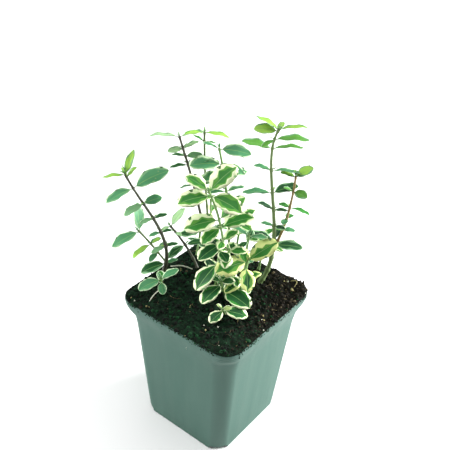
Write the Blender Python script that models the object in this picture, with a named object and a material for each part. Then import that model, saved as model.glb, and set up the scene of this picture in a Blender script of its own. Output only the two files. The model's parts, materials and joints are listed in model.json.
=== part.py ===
"""Variegated wintercreeper euonymus in a square nursery pot.

The origin is at the centre of the pot's flat underside, +Z is up, and the pot's sides face along X and Y.
Every shoot grows from one row of the SHOOTS table: a bare stem from a flat cut on the soil, then a spray
whose leaves stand in opposite pairs. The PLACED table sets the leaves that stand out, and a seeded rule all
others. A leaf that would touch another shoot, the soil or the pot is turned, lifted or left out.
"""
import math
import random
from collections import namedtuple

import bmesh
import bpy
from mathutils import Vector
from mathutils.bvhtree import BVHTree

MM = 0.001
UP = Vector((0, 0, 1))

# Pot, in millimetres
POT_HEIGHT = 99.0
RIM_WIDTH = 90.0
LIP_WIDTH = 88.5
BODY_TOP_WIDTH = 80.5
BASE_WIDTH = 67.5
RIM_CORNER = 12.0
BODY_CORNER = 11.2
BASE_CORNER = 9.0
BEAD_FOOT = POT_HEIGHT - 2.0
LIP_FOOT = POT_HEIGHT - 6.0
BODY_TOP = LIP_FOOT - 8.5
WALL = 1.1
FLOOR = 1.6
EDGE = 0.5
CORNER_STEPS = 5
DRAIN_RADIUS = 4.0
DRAIN_OFFSET = 19.0
DRAIN_SIDES = 12

# Soil, in millimetres
CLEAR = 0.3
SOIL_EDGE = 98.3
SOIL_PROFILE = ((1.0, 0.0), (0.8, 0.8), (0.5, 1.4), (0.0, 1.7))

# Stems, in millimetres
STEM_TIP_RADIUS = 0.7
FOOT_FLARE = 0.35
FLARE_HEIGHT = 4.0
STEM_SIDES = 6
TWIG_SIDES = 3
STEM_STEP = 9.0
TWIG_STEP = 12.0
TAPER_POWER = 0.8
BRANCH_STUB = 3.0
SPLIT_BELOW_LEAVES = 1.0

# Leaves: shares of the leaf's length, angles in degrees, thicknesses in millimetres
PETIOLE = 0.1
PETIOLE_HALF_WIDTH = 0.4
PETIOLE_HALF_DEPTH = 0.28
LEAF_HALF_DEPTH = 0.2
LEAF_FOLD = 0.16
LEAF_CURL = 26.0
LEAF_STATIONS = (0.36, 0.72)
ROOT_DEPTH = 0.1
TIP_STUB = 1.0
LEAN_SHARE = 0.7
SPARE = 0.45
OWN_SPARE = 0.22
DEPTH_SPARE = 0.7
BLADE_START = 0.24
SOIL_CLEAR = 0.7
AZIMUTH_JITTER = 9.0
RISE_JITTER = 7.0
ROLL_JITTER = 14.0
LENGTH_JITTER = 0.1
TRIES = ((0, 0, 1.0), (14, 8, 1.0), (-14, 8, 1.0), (26, 16, 0.92), (-26, 16, 0.92),
         (0, 28, 0.9), (38, 24, 0.82), (-38, 24, 0.82), (0, -22, 0.8), (0, 44, 0.75))

# One row for each shoot, in millimetres and degrees.
# foot: where it leaves the soil, or the height of its fork on its parent's stem.
# way: the points that the stem passes, the last one its tip.  girth: radius at the foot.
# bare: length of stem with no leaves.  gaps: between pairs of leaves, from the tip down.
# leaf: lengths from the tip down.  broad: width over length.
# face: azimuth of the top pair.  turn: what every second pair is turned by.
# rise: slope of the pairs against the stem, from the tip down.
# tilt: how much more the first leaf of a pair rises, and its mate falls, for even and odd pairs.
# In gaps, leaf and rise the last number holds for all pairs below.
Shoot = namedtuple("Shoot", "name parent foot way girth bare gaps leaf broad face turn rise tilt")
SHOOTS = (
    Shoot("centre_show", None, (3, 3), ((0, 2, 142), (-9, -2, 172)), 0.9, 26, (1.5, 15, 10),
          (21, 20, 20, 15, 12), 0.52, 82, -82, (14, 4, 4), (8, -14)),
    Shoot("right_low", None, (16, 0), ((16, 4, 114), (15, 10, 127)), 0.8, 14, (1.5, 10), (18, 18, 12),
          0.5, 68, -118, (6, -8, 0), (26, -34)),
    Shoot("front_low", None, (9, -2.5), ((8, -4.5, 108), (7, -6.5, 116)), 0.75, 7, (1.5, 7), (14, 20, 11),
          0.56, 255, 98, (-4, -2), (-28, -26)),
    Shoot("front_foot", None, (17, -14), ((18, -16, 103), (18, -18, 107)), 0.6, 4, (1.5, 4), (11, 13),
          0.58, 262, 108, (6, 0), (-16, -4)),
    Shoot("centre_low", None, (-1.5, 0), ((-0.5, -0.8, 118), (0.5, 0.2, 138)), 0.8, 13, (1.5, 10, 9),
          (17, 14, 20, 12), 0.55, 250, 100, (2, 0), (-28, -14)),
    Shoot("centre_right", None, (9, 4), ((8, 3, 118), (5, 2, 134)), 0.75, 5, (2, 8), (13, 12, 11),
          0.56, 30, 76, (4, 0), (-6, -10)),
    Shoot("right_tall", None, (14.5, 25.6), ((17.5, 33, 135), (15.4, 26.8, 179), (21, 21.5, 214)), 1.6, 25,
          (4, 7.5, 13.5, 11, 10, 9, 10), (15, 16, 16, 18, 17, 9, 7, 8, 13), 0.42, 34, 22, (14, 4, 4),
          (-6, 4)),
    Shoot("right_fork", "right_tall", 124, ((23.4, 36, 148), (27.4, 34.6, 181)), 0.95, 8, (5, 13, 9),
          (9, 11, 9, 7, 7), 0.56, 52, 50, (34, 8, 2), (4, -4)),
    Shoot("left_tall", None, (-41, -5.5), ((-41.1, -6, 125.3), (-51.1, -11.3, 147), (-64, -16, 168)), 1.35, 4,
          (10.5, 11.5, 11, 10, 10), (13, 23, 14, 9, 8, 7, 8), 0.46, 68, -20, (44, 2, 0), (6, 0)),
    Shoot("left_fork", "left_tall", 106, ((-52, -7, 117), (-60, -10, 125)), 0.65, 7, (2, 7), (18, 13, 8),
          0.44, 250, -120, (4, 10, 0), (-14, 12)),
    Shoot("left_foot", None, (-29, -20), ((-29.4, -20.5, 103), (-29.8, -21, 107)), 0.6, 3, (1.5, 3), (14, 12),
          0.5, 250, -118, (10, 4), (-14, 6)),
    Shoot("back_left_tall", None, (-16, 13), ((-28, 13, 146), (-41, 8, 193)), 1.2, 50, (6.5, 12, 14),
          (16, 10, 12, 9), 0.38, 40, 30, (4, 0), (0, 0)),
    Shoot("back_thin", None, (-22, 22), ((-27, 19, 150), (-30, 18.5, 196)), 0.75, 58, (6, 14), (15, 10, 9),
          0.34, 34, 40, (4, 2), (0, 0)),
    Shoot("centre_back", None, (-8, 20), ((-11, 22, 143), (-21, 22, 187)), 1.0, 30, (8, 9, 12),
          (18, 14, 12, 12, 10), 0.44, 10, 50, (-8, 0), (0, 0)),
    Shoot("left_small", None, (-25, 10), ((-34, 10, 112), (-47, 7, 126)), 0.95, 12, (4, 11, 8), (12, 8, 15, 8),
          0.42, 60, 80, (36, 0), (0, 0)),
    Shoot("middle_right", None, (6, 16), ((7, 18, 120), (8, 19, 138)), 0.8, 13, (4, 9), (12, 11, 9),
          0.46, 14, 80, (16, 0), (0, 0)),
    Shoot("back_corner", None, (-30, 31), ((-34, 34, 122), (-37, 36, 142)), 0.85, 12, (3, 10),
          (15, 17, 13, 11), 0.45, 120, 84, (16, 4), (0, 0)),
    Shoot("back_middle", None, (-14, 36), ((-15, 40, 114), (-16, 42, 129)), 0.85, 11, (3, 9), (14, 16, 12),
          0.45, 80, 84, (16, 2), (0, 0)),
    Shoot("back_right", None, (6, 36), ((6, 39, 112), (5, 42, 124)), 0.8, 9, (3, 8), (12, 14, 11),
          0.46, 100, 84, (16, 0), (0, 0)),
    Shoot("left_back", None, (-36, 22), ((-37, 25, 108), (-38, 28, 119)), 0.75, 8, (3, 8), (13, 14, 11),
          0.46, 160, 82, (16, 0), (0, 0)),
)

# Leaves that stand out, placed one by one: for each shoot its upper pairs from the tip down. A pair is the
# distance to the one above it and two leaves of azimuth, slope against the level, roll and length.
# The pairs below them follow the shoot's row.
PLACED = {
    "centre_show": (
        (0.7, (75, 29, 20, 22), (-163, 24, -15, 16)),
        (2.8, (16, -18, 28, 20), (-128, -10, -25, 19.5)),
        (17, (56, 40, 5, 20), (-130, -12, -25, 21)),
        (5, (60, 7, 10, 21), (-104, -26, -10, 15)),
    ),
    "right_low": (
        (1.2, (54, 32, 25, 20), (-130, -14, -38, 20)),
        (3.6, (-48, -25, 0, 15.5), (132, 12, 0, 14)),
    ),
    "front_low": (
        (0.8, (20, 16, 15, 9), (-160, 10, 0, 8)),
        (2.4, (78, 14, 0, 12), (-98, -21, 0, 17)),
        (5.5, (12, -13, 10, 20.5), (-142, -22, 0, 12)),
    ),
    "front_foot": (
        (0.5, (30, 18, 30, 5.5), (-150, 40, 0, 5)),
        (1.8, (28, -6, 12, 14.5), (-100, -18, -10, 11)),
        (2.6, (96, 4, 0, 9), (176, -4, 0, 11)),
    ),
    "centre_low": (
        (1.2, (60, 25, 20, 14.5), (-102, -15, -10, 17)),
        (5, (-28, 0, 10, 12), (152, 8, 0, 12)),
        (9, (78, 14, 0, 14), (-97, -34, 0, 21)),
    ),
    "centre_right": (
        (1, (30, 6, 15, 11), (-150, 4, -15, 11)),
        (2.2, (112, 10, 0, 11), (-64, -10, 0, 12)),
        (8, (28, -2, 15, 13), (-160, -6, 0, 12)),
        (8, (110, 4, 0, 12), (-60, -16, 0, 12)),
        (8, (20, -8, 10, 12), (164, 12, 0, 12)),
    ),
    "right_tall": (
        (0.5, (36, 8, -8, 15), (-165, 19, 5, 13.5)),
        (1.3, (100, 24, 0, 7), (-140, 4, -35, 12.5)),
        (6.6, (34, 3, -4, 18), (-112, -22, 0, 8)),
        (6.8, (33, 6, -12, 16.5), (-150, 8, -3, 16.5)),
        (16.3, (35, -3, -15, 16), (-150, 12, 0, 10)),
        (17, (50, 13, 10, 15), (-143, -3, 8, 16.5)),
        (13, (30, 4, 0, 8), (-150, 22, 0, 10)),
        (12.5, (30, -8, 15, 8), (-150, 10, 0, 8)),
        (10, (60, 4, 0, 10), (-148, 6, 0, 16.5)),
        (4.5, (32, 0, 10, 17), (-120, -28, -10, 14.5)),
    ),
    "right_fork": (
        (1, (50, 28, 15, 11), (-150, 14, 0, 9)),
        (11, (4, -2, 30, 9), (-172, 4, 0, 8)),
        (12, (15, -8, -18, 12), (-165, 6, 0, 7)),
    ),
    "left_tall": (
        (0.8, (95, 57, 12, 17), (-130, -4, 0, 14.5)),
        (1.9, (60, 45, 0, 9), (-162, 46, 0, 9)),
        (7.8, (58, 22, 12, 24), (-118, -22, 0, 18.5)),
        (12, (60, 12, 35, 12), (-108, -18, 0, 14)),
        (11.5, (50, 14, 0, 9), (-115, -12, 0, 9)),
        (11, (45, 12, 0, 7), (-118, -10, 0, 8)),
        (11, (52, 8, 0, 8), (-116, -16, 0, 10)),
        (14, (60, 12, 0, 8), (-122, -14, -10, 17)),
    ),
    "left_fork": (
        (1.5, (142, 62, 40, 18), (-115, -21, 0, 19)),
        (11, (80, 10, 0, 8), (-100, -19, 18, 14.5)),
    ),
    "left_foot": (
        (0.6, (60, 22, 0, 12.5), (-112, -12, -10, 15)),
        (2.4, (-42, -14, 0, 9.5), (138, 16, 0, 9)),
    ),
    "left_small": (
        (0.7, (76, 42, 0, 14), (-130, -20, 0, 7)),
        (5, (-20, 10, 0, 7), (160, 10, 0, 7)),
        (10.5, (50, 4, 0, 14), (-110, -27, -10, 13.5)),
    ),
    "back_left_tall": (
        (0.5, (48, 12, -5, 14), (-137, 2, 12, 17)),
        (8, (60, 20, 0, 10), (-130, -8, -30, 9)),
        (5, (40, 2, 30, 10), (-150, 0, 0, 8)),
        (6, (45, 12, 0, 14), (-132, -8, 5, 10.5)),
    ),
    "back_thin": (
        (0.5, (33, -7, 0, 15), (-135, -8, 0, 15)),
        (6, (40, -6, 0, 7), (-150, 26, 0, 8)),
        (12, (34, -8, 15, 9), (-165, 10, 0, 8)),
    ),
    "centre_back": (
        (0.9, (32, -5, 20, 18.5), (-147, 12, 0, 12.5)),
        (10, (20, -16, 10, 14), (-138, -3, -20, 20)),
        (6, (58, -4, 15, 15), (-120, -10, -15, 15)),
    ),
}


def new_material(name, color, roughness):
    """Principled material with one colour."""
    material = bpy.data.materials.new(name)
    material.use_nodes = True
    shader = material.node_tree.nodes["Principled BSDF"]
    shader.inputs["Base Color"].default_value = (*color, 1.0)
    shader.inputs["Roughness"].default_value = roughness
    shader.inputs["Metallic"].default_value = 0.0
    return material


def new_object(name, bm, material):
    """Make an object from a bmesh in millimetres, in metres at the origin."""
    bmesh.ops.scale(bm, vec=(MM, MM, MM), verts=bm.verts)
    mesh = bpy.data.meshes.new(name)
    bm.to_mesh(mesh)
    bm.free()
    mesh.materials.append(material)
    obj = bpy.data.objects.new(name, mesh)
    bpy.context.collection.objects.link(obj)
    return obj


def square_ring(width, corner, z):
    """Points of a square with round corners, anticlockwise, at one height."""
    half = width / 2 - corner
    points = []
    for side, (sx, sy) in enumerate(((1, 1), (-1, 1), (-1, -1), (1, -1))):
        for step in range(CORNER_STEPS + 1):
            angle = math.radians(90 * (side + step / CORNER_STEPS))
            x = sx * half + corner * math.cos(angle)
            y = sy * half + corner * math.sin(angle)
            points.append(Vector((x, y, z)))
    return points


def loft(bm, rings):
    """Join rings of equal count into one closed skin, the first and last ring capped."""
    loops = [[bm.verts.new(point) for point in ring] for ring in rings]
    count = len(loops[0])
    for low, high in zip(loops, loops[1:]):
        for i in range(count):
            j = (i + 1) % count
            bm.faces.new((low[i], low[j], high[j], high[i]))
    bm.faces.new(loops[0][::-1])
    bm.faces.new(loops[-1])
    return loops


def body_width(z):
    """Outer width of the pot's tapered body at a height."""
    return BASE_WIDTH + (BODY_TOP_WIDTH - BASE_WIDTH) * z / BODY_TOP


def body_corner(z):
    """Outer corner radius of the pot's body at a height."""
    return BASE_CORNER + (BODY_CORNER - BASE_CORNER) * z / BODY_TOP


def upper_rings(inset):
    """Rings of the wall from the body's top over the lip to the bead, inset from the outside."""
    return [
        square_ring(BODY_TOP_WIDTH - 2 * inset, BODY_CORNER - inset, BODY_TOP),
        square_ring(LIP_WIDTH - 2 * inset, RIM_CORNER - inset, LIP_FOOT),
        square_ring(RIM_WIDTH - 2 * inset, RIM_CORNER - inset, BEAD_FOOT),
    ]


def build_pot(material):
    """Tapered square pot whose wall flares out to a lip, of one wall thickness, with four drain holes."""
    bm = bmesh.new()
    loft(bm, [
        square_ring(BASE_WIDTH - 2 * EDGE, BASE_CORNER - EDGE, 0),
        square_ring(BASE_WIDTH, BASE_CORNER, EDGE),
        *upper_rings(0),
        square_ring(RIM_WIDTH, RIM_CORNER, POT_HEIGHT - EDGE),
        square_ring(RIM_WIDTH - 2 * EDGE, RIM_CORNER - EDGE, POT_HEIGHT),
        square_ring(RIM_WIDTH - 2 * WALL, RIM_CORNER - WALL, POT_HEIGHT),
        *reversed(upper_rings(WALL)),
        square_ring(body_width(FLOOR) - 2 * WALL, body_corner(FLOOR) - WALL, FLOOR),
    ])
    pot = new_object("pot", bm, material)
    drills = bmesh.new()
    for sx in (-1, 1):
        for sy in (-1, 1):
            made = bmesh.ops.create_cone(drills, cap_ends=True, segments=DRAIN_SIDES, radius1=DRAIN_RADIUS,
                                         radius2=DRAIN_RADIUS, depth=6 * FLOOR)
            bmesh.ops.translate(drills, vec=(sx * DRAIN_OFFSET, sy * DRAIN_OFFSET, 0), verts=made["verts"])
    cutter = new_object("drain_cutter", drills, material)
    cutter.hide_render = True
    cutter.display_type = "WIRE"
    cut = pot.modifiers.new("drain_holes", "BOOLEAN")
    cut.operation = "DIFFERENCE"
    cut.object = cutter
    return pot


def soil_height(x, y):
    """Height of the domed soil over a point, by its share of the way to the rim."""
    share = max(abs(x), abs(y)) / (RIM_WIDTH / 2 - WALL - CLEAR)
    for (far, low), (near, high) in zip(SOIL_PROFILE, SOIL_PROFILE[1:]):
        if share >= near:
            return SOIL_EDGE + low + (high - low) * (far - min(share, far)) / (far - near)
    return SOIL_EDGE


def build_soil(material):
    """Root ball that fills the pot, clear of its wall, with a domed top."""
    gap = WALL + CLEAR
    low = FLOOR + CLEAR
    rings = [square_ring(body_width(low) - 2 * gap, body_corner(low) - gap, low), *upper_rings(gap)]
    brim = rings[-1]
    for share, rise in SOIL_PROFILE[:-1]:
        rings.append([Vector((p.x * share, p.y * share, SOIL_EDGE + rise)) for p in brim])
    bm = bmesh.new()
    loops = loft(bm, rings)
    bmesh.ops.poke(bm, faces=[bm.faces.get(loops[-1])], offset=SOIL_PROFILE[-1][1] - SOIL_PROFILE[-2][1])
    return new_object("soil", bm, material)


class Path:
    """Curve of a stem through its knots, from its foot to its tip, measured along its length."""

    SAMPLES = 60

    def __init__(self, knots):
        self.points = [self.blend(knots, i / self.SAMPLES) for i in range(self.SAMPLES + 1)]
        self.marks = [0.0]
        for a, b in zip(self.points, self.points[1:]):
            self.marks.append(self.marks[-1] + (b - a).length)
        self.length = self.marks[-1]

    @staticmethod
    def blend(knots, t):
        """Smooth curve through evenly spaced knots, read at a share of the way."""
        layer = list(knots)
        last = len(knots) - 1
        for span in range(1, last + 1):
            for i in range(last + 1 - span):
                start, end = i / last, (i + span) / last
                layer[i] = layer[i].lerp(layer[i + 1], (t - start) / (end - start))
        return layer[0]

    def at(self, s):
        """Point at a distance from the foot."""
        for i in range(self.SAMPLES):
            if s <= self.marks[i + 1] or i == self.SAMPLES - 1:
                share = (s - self.marks[i]) / (self.marks[i + 1] - self.marks[i])
                return self.points[i].lerp(self.points[i + 1], share)

    def along(self, s):
        """Direction of growth at a distance from the foot."""
        step = self.length / self.SAMPLES
        return (self.at(min(s + step, self.length)) - self.at(max(s - step, 0.0))).normalized()

    def level(self, z):
        """Distance from the foot at which the stem passes a height."""
        for mark, point in zip(self.marks, self.points):
            if point.z >= z:
                return mark
        return self.length


def stem_radius(shoot, path, s):
    """Radius of a shoot's stem at a distance from its foot, with a flare at the soil."""
    taper = shoot.girth + (STEM_TIP_RADIUS - shoot.girth) * (s / path.length) ** TAPER_POWER
    flare = 0.0 if shoot.parent else FOOT_FLARE * max(0.0, 1 - s / FLARE_HEIGHT) ** 2
    return taper * (1 + flare)


def tube(shoot, path, start, end, sides, step, flat_foot):
    """Bmesh of a tapering stem between two distances from its foot."""
    count = max(2, math.ceil((end - start) / step))
    marks = [start + (end - start) * i / count for i in range(count + 1)]
    if flat_foot and marks[1] > FLARE_HEIGHT:
        marks.insert(1, FLARE_HEIGHT / 2)
    rings = []
    for i, s in enumerate(marks):
        axis = UP if flat_foot and i == 0 else path.along(s)
        side = axis.cross(Vector((0, 1, 0))).normalized()
        other = axis.cross(side)
        radius = stem_radius(shoot, path, s)
        ring = []
        for k in range(sides):
            angle = math.tau * k / sides
            ring.append(path.at(s) + radius * (math.cos(angle) * side + math.sin(angle) * other))
        rings.append(ring)
    bm = bmesh.new()
    loft(bm, rings)
    bmesh.ops.recalc_face_normals(bm, faces=bm.faces)
    return bm


class Leaf:
    """One leaf: a root on the stem, a direction, a slope that falls along its length, and its size."""

    def __init__(self, root, azimuth, rise, roll, length, broad):
        self.root = root
        self.azimuth = math.radians(azimuth)
        self.start = math.radians(rise + LEAF_CURL / 2)
        self.roll = math.radians(roll)
        self.length = length
        self.half = length * broad / 2

    def half_width(self, u):
        """Half the blade's width at a share of the length."""
        s = min(1.0, max(0.0, (u - PETIOLE) / (1 - PETIOLE)))
        return max(PETIOLE_HALF_WIDTH, self.half * 2 * s ** 0.55 * (1 - s) ** 0.5)

    def point(self, u, v, lift=0.0, widen=0.0):
        """Point at a share of the length and of the half width, lifted off the blade."""
        bend = math.radians(LEAF_CURL)
        slope = self.start - bend * u
        reach = self.length * (math.sin(self.start) - math.sin(slope)) / bend
        height = self.length * (math.cos(slope) - math.cos(self.start)) / bend
        out = Vector((math.cos(self.azimuth), math.sin(self.azimuth), 0))
        side = Vector((-out.y, out.x, 0))
        normal = Vector((-math.sin(slope) * out.x, -math.sin(slope) * out.y, math.cos(slope)))
        across = side * math.cos(self.roll) + normal * math.sin(self.roll)
        upward = normal * math.cos(self.roll) - side * math.sin(self.roll)
        width = self.half_width(u) + widen
        spine = self.root + out * reach + Vector((0, 0, height))
        return spine + across * (v * width) + upward * (abs(v) * width * LEAF_FOLD + lift)

    def skin(self, start, widen):
        """Closed bmesh of the blade from a share of its length to the tip, grown by a margin."""
        bm = bmesh.new()
        rings = []
        for u in (start,) + LEAF_STATIONS:
            depth = (PETIOLE_HALF_DEPTH if u <= PETIOLE else LEAF_HALF_DEPTH) + widen * DEPTH_SPARE
            rings.append([bm.verts.new(self.point(u, 0, -depth)), bm.verts.new(self.point(u, 1, 0, widen)),
                          bm.verts.new(self.point(u, 0, depth)), bm.verts.new(self.point(u, -1, 0, widen))])
        tip = bm.verts.new(self.point(1 + widen / self.length, 0))
        for near, far in zip(rings, rings[1:]):
            for i in range(4):
                j = (i + 1) % 4
                bm.faces.new((near[i], near[j], far[j], far[i]))
        for i in range(4):
            bm.faces.new((rings[-1][i], rings[-1][(i + 1) % 4], tip))
        bm.faces.new(rings[0][::-1])
        bmesh.ops.triangulate(bm, faces=bm.faces)
        bmesh.ops.recalc_face_normals(bm, faces=bm.faces)
        return bm

    def clear_of_soil(self):
        """Whether every part of the blade stays above the soil and the rim."""
        for u in LEAF_STATIONS + (1.0,):
            for v in (-1, 0, 1):
                spot = self.point(u, v)
                if spot.z < max(POT_HEIGHT, soil_height(spot.x, spot.y)) + SOIL_CLEAR:
                    return False
        return True


def tree_of(bm):
    """Search tree of a bmesh, which is then freed."""
    tree = BVHTree.FromBMesh(bm)
    bm.free()
    return tree


class Thicket:
    """Everything grown so far, by shoot, to keep the shoots and leaves apart."""

    def __init__(self):
        self.solids = []

    def add(self, owner, place, reach, bm):
        """Remember a solid by its owner, a point on it and how far it reaches from there."""
        self.solids.append((owner, place, reach, tree_of(bm)))

    def free_for(self, owner, leaf):
        """Whether a leaf fits, its blade clear of its own shoot and all of it clear of the others."""
        whole = tree_of(leaf.skin(0.0, SPARE))
        blade = tree_of(leaf.skin(BLADE_START, OWN_SPARE))
        for other, place, reach, tree in self.solids:
            if (place - leaf.root).length > reach + leaf.length + 2 * SPARE:
                continue
            if (blade if other == owner else whole).overlap(tree):
                return False
        return True


def grow_paths():
    """Stem curve of every shoot by name, forks starting on their parent's curve."""
    paths = {}
    for shoot in SHOOTS:
        if shoot.parent:
            foot = paths[shoot.parent].at(paths[shoot.parent].level(shoot.foot))
        else:
            foot = Vector((*shoot.foot, soil_height(*shoot.foot) + CLEAR))
        paths[shoot.name] = Path([foot] + [Vector(point) for point in shoot.way])
    return paths


def fork_start(shoot, paths):
    """Distance along a fork at which its stem stands clear of its parent's."""
    if not shoot.parent:
        return 0.0
    parent = next(row for row in SHOOTS if row.name == shoot.parent)
    trunk = paths[shoot.parent]
    s = 0.0
    while s < shoot.bare - BRANCH_STUB:
        here = paths[shoot.name].at(s)
        nearest = min(range(len(trunk.points)), key=lambda i: (trunk.points[i] - here).length)
        room = (trunk.points[nearest] - here).length - stem_radius(parent, trunk, trunk.marks[nearest])
        if room >= stem_radius(shoot, paths[shoot.name], s) + CLEAR:
            break
        s += CLEAR
    return s


def pick(values, order):
    """Value for a pair of leaves, the last one holding for all pairs below."""
    return values[min(order, len(values) - 1)]


def leaf_marks(shoot, path):
    """Distances from the foot at which pairs of leaves stand, from the tip down."""
    gaps = [pair[0] for pair in PLACED.get(shoot.name, ())] or [TIP_STUB]
    marks = [path.length - gaps[0]]
    while True:
        order = len(marks)
        gap = gaps[order] if order < len(gaps) else pick(shoot.gaps, order - 1)
        if marks[-1] - gap < shoot.bare:
            return marks
        marks.append(marks[-1] - gap)


def plan_pair(shoot, path, mark, order, rng):
    """Both leaves of a pair as the axis that they rise along, azimuth, rise, roll and length."""
    placed = PLACED.get(shoot.name, ())
    if order < len(placed):
        return [(UP, *leaf) for leaf in placed[order][1:]]
    axis = path.along(mark).lerp(UP, 1 - LEAN_SHARE).normalized()
    odd = order % 2
    pair = []
    for half, sign in ((0, 1), (180, -1)):
        azimuth = shoot.face + shoot.turn * odd + half + rng.uniform(-1, 1) * AZIMUTH_JITTER
        rise = pick(shoot.rise, order) + sign * shoot.tilt[odd] + rng.uniform(-1, 1) * RISE_JITTER
        roll = rng.uniform(-1, 1) * ROLL_JITTER
        length = pick(shoot.leaf, order) * (1 + rng.uniform(-1, 1) * LENGTH_JITTER)
        pair.append((axis, azimuth, rise, roll, length))
    return pair


def new_leaf(shoot, path, mark, axis, azimuth, rise, roll, length):
    """Leaf at a place on a stem, its slope measured against an axis."""
    level = Vector((math.cos(math.radians(azimuth)), math.sin(math.radians(azimuth)), 0))
    out = (level - axis * level.dot(axis)).normalized()
    way = out * math.cos(math.radians(rise)) + axis * math.sin(math.radians(rise))
    heading = math.degrees(math.atan2(way.y, way.x))
    slope = math.degrees(math.asin(max(-1.0, min(1.0, way.z))))
    return Leaf(path.at(mark) - level * ROOT_DEPTH, heading, slope, roll, length, shoot.broad)


def grow_leaves(shoot, path, thicket):
    """Place the leaves of one shoot from the tip down, in pairs, and return those that fit."""
    rng = random.Random(shoot.name)
    leaves = []
    for order, mark in enumerate(leaf_marks(shoot, path)):
        for axis, azimuth, rise, roll, length in plan_pair(shoot, path, mark, order, rng):
            for turn, lift, cut in TRIES:
                leaf = new_leaf(shoot, path, mark, axis, azimuth + turn, rise + lift, roll, length * cut)
                if leaf.clear_of_soil() and thicket.free_for(shoot.name, leaf):
                    leaves.append(leaf)
                    thicket.add(shoot.name, leaf.root, leaf.length, leaf.skin(0.0, 0.0))
                    break
    return leaves


def keep_largest_body(obj):
    """Drop loose scraps and fill sealed hollows, so that one closed body is left."""
    bm = bmesh.new()
    bm.from_mesh(obj.data)
    left = set(bm.verts)
    bodies = []
    while left:
        stack = [left.pop()]
        body = set(stack)
        while stack:
            for edge in stack.pop().link_edges:
                for vert in edge.verts:
                    if vert in left:
                        left.remove(vert)
                        body.add(vert)
                        stack.append(vert)
        bodies.append(body)
    bodies.sort(key=len)
    for body in bodies[:-1]:
        bmesh.ops.delete(bm, geom=list(body), context="VERTS")
    bmesh.ops.triangulate(bm, faces=bm.faces)
    bm.to_mesh(obj.data)
    bm.free()


def fuse(base, leaves, material):
    """Join leaves to a twig by one union on a collection, and apply it."""
    group = bpy.data.collections.new(base.name + "_leaves")
    for i, leaf in enumerate(leaves):
        blade = new_object(f"{base.name}_leaf_{i}", leaf.skin(0.0, 0.0), material)
        bpy.context.collection.objects.unlink(blade)
        group.objects.link(blade)
    bpy.context.scene.collection.children.link(group)
    union = base.modifiers.new("fuse_leaves", "BOOLEAN")
    union.operation = "UNION"
    union.operand_type = "COLLECTION"
    union.collection = group
    graph = bpy.context.evaluated_depsgraph_get()
    fused = bpy.data.meshes.new_from_object(base.evaluated_get(graph))
    base.modifiers.clear()
    base.data = fused
    for blade in list(group.objects):
        bpy.data.objects.remove(blade)
    bpy.data.collections.remove(group)
    keep_largest_body(base)


def build_plant(bark, foliage):
    """Grow every shoot: first all stems, then the leaves, and fuse each spray."""
    paths = grow_paths()
    thicket = Thicket()
    starts = {}
    for shoot in SHOOTS:
        path = paths[shoot.name]
        start = fork_start(shoot, paths)
        split = max(shoot.bare, start + BRANCH_STUB) - SPLIT_BELOW_LEAVES
        starts[shoot.name] = split
        stem = tube(shoot, path, start, split, STEM_SIDES, STEM_STEP, not shoot.parent)
        kind = "bough_" if shoot.parent else "stem_"
        new_object(kind + shoot.name, stem, bark)
        whole = tube(shoot, path, start, path.length, STEM_SIDES, STEM_STEP, False)
        thicket.add(shoot.name, path.at(path.length / 2), path.length, whole)
    for shoot in SHOOTS:
        path = paths[shoot.name]
        leaves = grow_leaves(shoot, path, thicket)
        twig = tube(shoot, path, starts[shoot.name] + CLEAR, path.length, TWIG_SIDES, TWIG_STEP, False)
        spray = new_object("spray_" + shoot.name, twig, foliage)
        fuse(spray, leaves, foliage)
        print(spray.name, len(leaves), "leaves", len(spray.data.polygons), "triangles")


def main():
    """Clear the scene and build the pot, the soil and the plant."""
    for obj in list(bpy.data.objects):
        bpy.data.objects.remove(obj)
    build_pot(new_material("pot_plastic", (0.17, 0.27, 0.23), 0.5))
    build_soil(new_material("peat", (0.02, 0.014, 0.009), 0.95))
    bark = new_material("green_bark", (0.16, 0.24, 0.1), 0.6)
    build_plant(bark, new_material("leaf_green", (0.07, 0.2, 0.05), 0.4))


main()
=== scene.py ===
"""Looks of a potted variegated wintercreeper euonymus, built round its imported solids.

The plant is grown again here by the rule that made the solids: every shoot is one row of a table, its leaves
stand in opposite pairs, and a leaf that would touch something is turned, lifted or left out. The rule works
in millimetres, with the origin at the centre of the pot's underside and +Z up. A finished mesh is in metres.
"""

import json
import logging
import math
import random
from collections.abc import Callable, Iterator, Mapping, Sequence
from dataclasses import dataclass, field, replace
from enum import Enum
from functools import cache
from itertools import accumulate, pairwise

import bmesh
import bpy
from bmesh.types import BMEdge, BMesh, BMVert
from bpy.types import ID, Material, Node, NodeSocket, NodeTree, Object
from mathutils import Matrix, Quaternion, Vector, noise
from mathutils.bvhtree import BVHTree

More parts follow.
